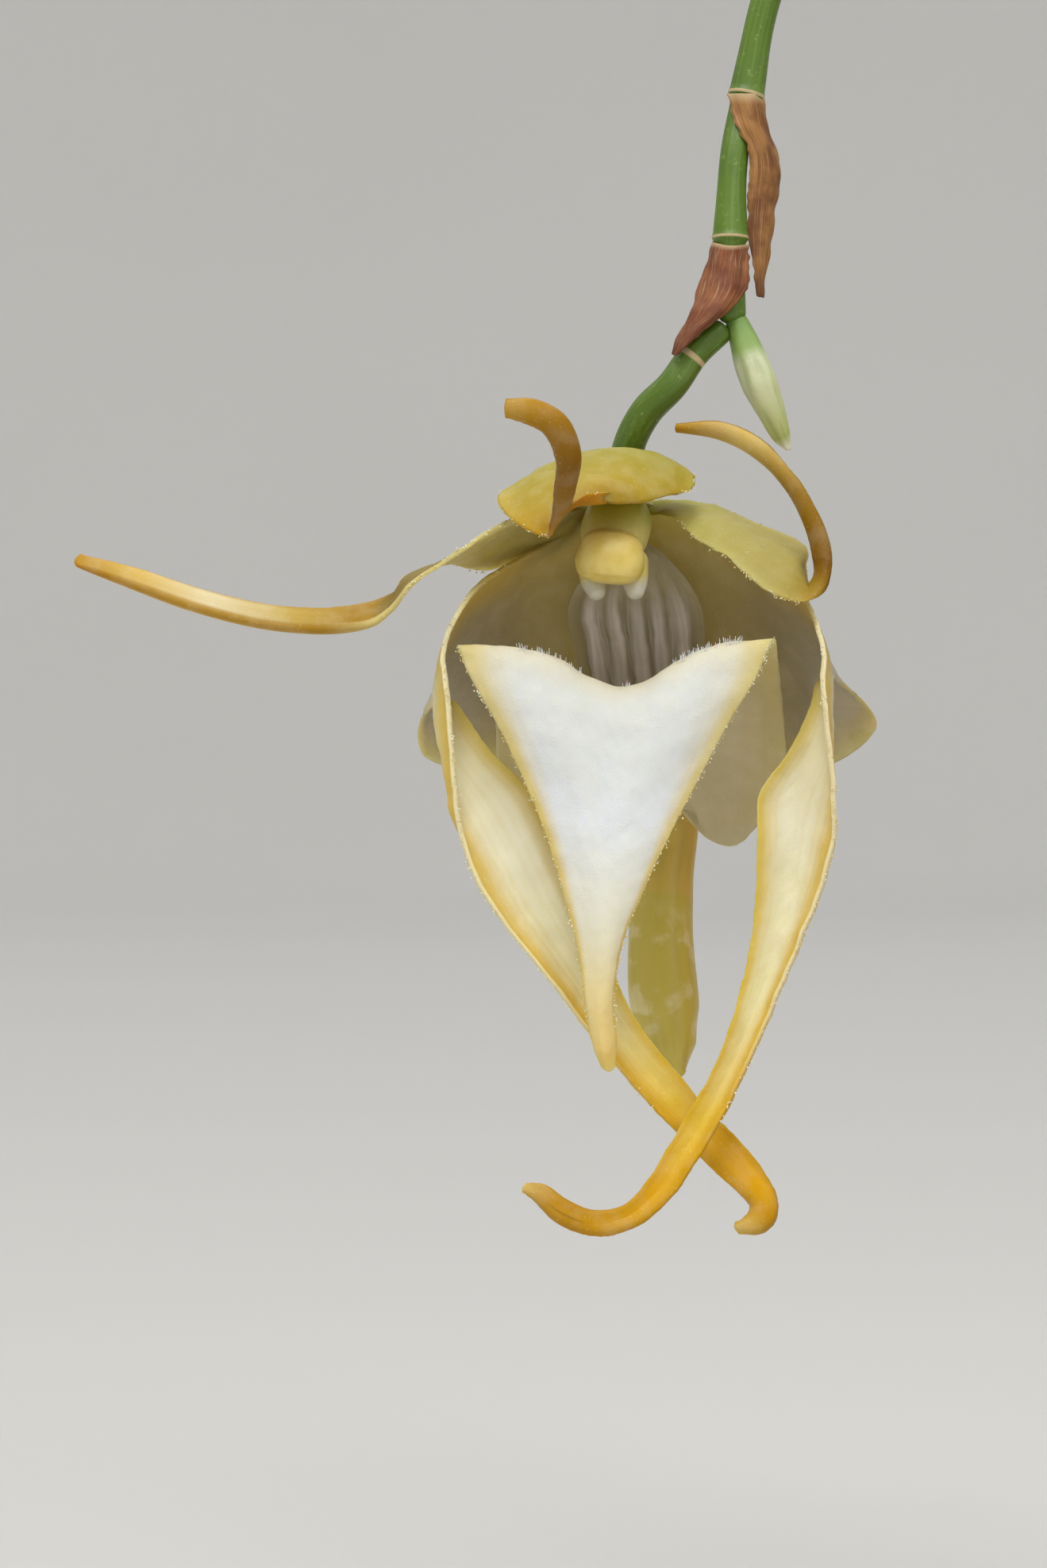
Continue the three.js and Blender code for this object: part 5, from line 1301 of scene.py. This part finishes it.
foot_rows = [
    [(-1.7, 0.9, -4.2), (-1, 0.8, -4.2), (-0.3, 0.8, -4.2), (0.5, 0.8, -4.2), (1.3, 0.9, -4.2)],
    [(-2.6, 0.8, -6.2), (-1.1, 0.9, -6.1), (0.5, 1, -6.1), (2.1, 0.9, -6.1), (3.7, 0.8, -6.3)],
    [(-4.4, 1.8, -9.5), (-1.8, 2, -9.4), (0.8, 2.2, -9.4), (3.4, 2, -9.4), (5.9, 1.8, -9.5)],
    [(-3.9, 3.4, -12.7), (-1.3, 3.6, -12.6), (1.3, 3.8, -12.6), (3.9, 3.6, -12.5), (6.3, 3.4, -12.5)],
    [(-3.1, 5.4, -16.3), (-0.7, 5.7, -16.3), (1.8, 6, -16.3), (4.2, 5.7, -16.3), (6.5, 5.4, -16.3)],
    [(-0.7, 8.2, -20.6), (1.2, 8.5, -20.6), (3.1, 8.7, -20.6), (4.9, 8.5, -20.6), (6.5, 8.2, -20.6)],
    [(2.6, 10.6, -24), (3.3, 10.8, -24), (4.2, 11, -24), (5.1, 10.8, -24), (6, 10.6, -24)],
]
foot_ridges = 6
ridge_height = 0.1
foot_along = 150
foot_across = 120
foot_half = 0.3
foot_margin = 0.06
column_voxel = 0.13
lit_column_green = (196, 200, 68)
column_yellow = (214, 200, 116)
tooth_grey = (206, 202, 186)
cap_yellow = (224, 204, 118)
cap_deep = (216, 190, 96)
cap_seam = (206, 178, 70)
ridge_lilac = (232, 226, 226)
valley_olive = (156, 147, 126)
foot_side = (166, 154, 112)
foot_back = (186, 176, 116)


post = Finish("column", column_yellow)
cloud = post.noise(1.6, 3)
level = post.part(post.spot, 2) + (cloud - 0.5) * 0.0012
# The column's real green top, its colour made lighter as painted light against the dorsal sepal's shade.
post.paint(level.over(0.1075, 0.1102), lit_column_green)
post.paint(level.over(0.1046, 0.1036), tooth_grey)
post.paint(post.part(post.spot, 1).over(-0.0225, -0.0200) * 0.5, lit_column_green)
column_skin = post.done(0.42, post.noise(0.2, 2) * 0.5 + cloud * 0.5, 0.06, Subsurface_Weight=0.45,
                        Subsurface_Radius=(1, 0.9, 0.5), Subsurface_Scale=0.9 * MM)
column_shells = [in_flower(limb(column_route, column_radii, 40, 36)),
                 in_flower(limb(neck_route, neck_radii, 20, 28))]
column_shells += [in_flower(limb(route, radii, 30, 24)) for route, radii in tooth_routes]
column = piece("column_post", column_shells, column_skin)
fuse = column.modifiers.new("fuse", "REMESH")
fuse.mode = "VOXEL"
fuse.voxel_size = column_voxel * MM
fuse.use_smooth_shade = True
ease = column.modifiers.new("ease", "SMOOTH")
ease.factor = 0.6
ease.iterations = 8
applied(column)
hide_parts("column")
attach(column, "root")

plate = Finish("column foot", valley_olive)
across = plate.place(0)
turn = across * (2 * math.pi * foot_ridges) + math.pi / 2 + (plate.noise(3, 2) - 0.5) * 2.4
ridge = turn.wave() * 0.5 + 0.5
side = (across - 0.5).size().over(0.34, 0.48)
plate.paint(ridge.over(0, 1) * 0.55 + plate.fibres(18, 2).over(0.4, 0.7) * 0.45, ridge_lilac)
plate.paint(plate.fibres(44, 3).over(0.5, 0.7) * 0.35, ridge_lilac)
plate.paint(side.math("MAXIMUM", side, plate.place(1).over(0.42, 0.2)) * 0.9, foot_side)
plate.paint(plate.place(2).over(0.2, -0.2) * 0.85, foot_back)
foot_skin = plate.done(0.4, ridge * 0.5 + plate.noise(0.3, 2) * 0.5, 0.1, Subsurface_Weight=0.35,
                       Subsurface_Radius=(1, 0.9, 0.8), Subsurface_Scale=0.8 * MM)
grid = surface(foot_rows, foot_along, foot_across)
v = np.linspace(0, 1, foot_across + 1)[None, :]
u = np.linspace(0, 1, foot_along + 1)[:, None]
rise = ridge_height * np.clip(3 * u - 0.7, 0, 1) * np.cos(2 * np.pi * foot_ridges * v)
grid = grid + rise[..., None] * np.array([0, -0.9, -0.4]) + 0.03 * ripple(grid, 1.5, 261)[..., None]
half = thin_to_margin(foot_along + 1, foot_across + 1, foot_half, foot_margin)
column_foot = piece("column_foot_plate", [in_flower(tissue(grid, half, half))], foot_skin)
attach(column_foot, "root")


def cap_shape(t, turn):
    """The cap is squarish seen from its end, a little flat in front."""
    return -0.1 * np.cos(4 * turn)


cap = Finish("anther cap", cap_yellow)
cloud = cap.noise(1.3, 3)
cap.paint(cloud.over(0.35, 0.7), cap_deep)
cap.paint(cap.place(1).over(0.3, 0.0) * 0.3, cap_seam)
cap_skin = cap.done(0.36, cap.noise(0.2, 2) * 0.4 + cloud * 0.6, 0.05, Subsurface_Weight=0.45,
                    Subsurface_Radius=(1, 0.9, 0.4), Subsurface_Scale=0.9 * MM)
cap_shell = limb(cap_route, cap_radii, 60, 44, cap_dome, cap_shape)
anther_cap = piece("anther_cap_dome", [in_flower(cap_shell)], cap_skin)
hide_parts("anther_cap")
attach(anther_cap, "root")


# The spur hangs from the foot behind the lip: a blunt club, creamy above and olive below,
# where the nectar inside shows through the thin wall.
spur_route = [
    (4.4, 12.1, -24.7), (4, 12.4, -27.8), (3.2, 11.6, -31.6), (3, 10.6, -36.5), (3.3, 10, -40.9),
    (3.7, 9.6, -44), (4.2, 9.4, -45.8),
]
spur_radii = [1.6, 1.9, 2.3, 2.65, 2.7, 2.1, 0.8]
nectar_level = 0.355
spur_cream = (212, 184, 88)
spur_olive = (202, 184, 80)
spur_gleam = (236, 224, 176)
spur_streak = (150, 132, 50)


def spur_form(t, turn):
    return 0.07 * np.cos(turn * 4 + 2 * t) * math.sin(math.pi * t) + 0.05 * math.sin(23 * t)


wall = Finish("spur", spur_cream)
cloud = wall.noise(2, 4, 0.5)
streak = wall.fibres(12, 3)
level = wall.place(1) + (cloud - 0.5) * 0.03
wall.paint(level.over(nectar_level - 0.01, nectar_level + 0.01), spur_olive)
# Painted highlights: pale patches on the nectar-filled part below the level.
glimmer = wall.noise(2.6, 4, 0.15).over(0.48, 0.62) * level.over(nectar_level, nectar_level + 0.1)
wall.paint(glimmer * 0.5, spur_gleam)
wall.paint(streak.over(0.45, 0.7) * 0.2, spur_streak)
spur_skin = wall.done(0.36, streak * 0.4 + cloud * 0.6, 0.08, Subsurface_Weight=0.25,
                      Subsurface_Radius=(1, 0.95, 0.6), Subsurface_Scale=0.7 * MM)
spur = piece("spur_club", [in_flower(limb(spur_route, spur_radii, 130, 40, relief=spur_form))], spur_skin)
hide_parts("spur")
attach(spur, "root")


# The picture: a plain pale floor that curves up all round, soft lamps, and a long lens
# that looks level along +Y at the flower, with the pot beyond the frame's right edge.
floor_reach = 3.2
floor_curve = 1.5
floor_top = 4.0
camera_at = (-0.11283, -0.423, 0.08875)
lens = 120
long_side = 36
floor_grey = (214, 213, 210)
floor_shade = (210, 209, 206)


ground = Finish("pale floor", floor_grey)
shade = ground.noise(400, 1)
ground.paint(shade, floor_shade)
floor_skin = ground.done(0.95, shade, 0.0)
bend = np.linspace(0, np.pi / 2, 24)
floor_profile = [(0, 0), (0.4, 0), (1.2, 0), (2.2, 0)]
floor_profile += [(floor_reach + floor_curve * math.sin(a), floor_curve * (1 - math.cos(a))) for a in bend]
floor_profile += [(floor_reach + floor_curve, floor_top), (0, floor_top)]
points, faces, places = lathe(floor_profile, 96)
open_faces = [face[::-1] for face in faces if len(points) - 1 not in face]
floor = piece("floor", [(points[:-1] / MM, open_faces, places[:-1])], floor_skin)

lamps = [
    ("key lamp", (-0.25, -0.5, 0.72), 0.36, 2.7, (1.0, 0.98, 0.95)),
    ("fill lamp", (0.5, -0.75, 0.5), 0.4, 0.6, (1.0, 0.98, 0.95)),
    ("plant lamp", (0.9, -1.1, 1.5), 0.9, 6.0, (1.0, 0.99, 0.97)),
]
aim = np.array([-0.105, -0.03, 0.1])
for name, place, width, power, tint in lamps:
    light = bpy.data.lights.new(name, "AREA")
    light.shape = "DISK"
    light.size = width
    light.energy = power
    light.color = tint
    lamp = bpy.data.objects.new(name, light)
    bpy.context.scene.collection.objects.link(lamp)
    lamp.location = place
    toward = Vector(aim - np.array(place))
    lamp.rotation_euler = toward.to_track_quat("-Z", "Y").to_euler()
    lamp.visible_camera = False

world = bpy.data.worlds.new("studio")
bpy.context.scene.world = world
world.use_nodes = True
world.node_tree.nodes.clear()
glow = node(world.node_tree, "ShaderNodeBackground", {}, {"Color": (1, 1, 1, 1), "Strength": 1.05})
node(world.node_tree, "ShaderNodeOutputWorld", {}, {"Surface": glow})

camera_data = bpy.data.cameras.new("camera")
camera_data.lens = lens
camera_data.sensor_width = long_side
camera_data.sensor_fit = "AUTO"
camera_data.clip_start = 0.01
camera_data.clip_end = 30
camera = bpy.data.objects.new("camera", camera_data)
camera.location = camera_at
camera.rotation_euler = (math.pi / 2, 0, 0)
bpy.context.scene.collection.objects.link(camera)
bpy.context.scene.camera = camera
bpy.context.scene.view_settings.view_transform = "Standard"
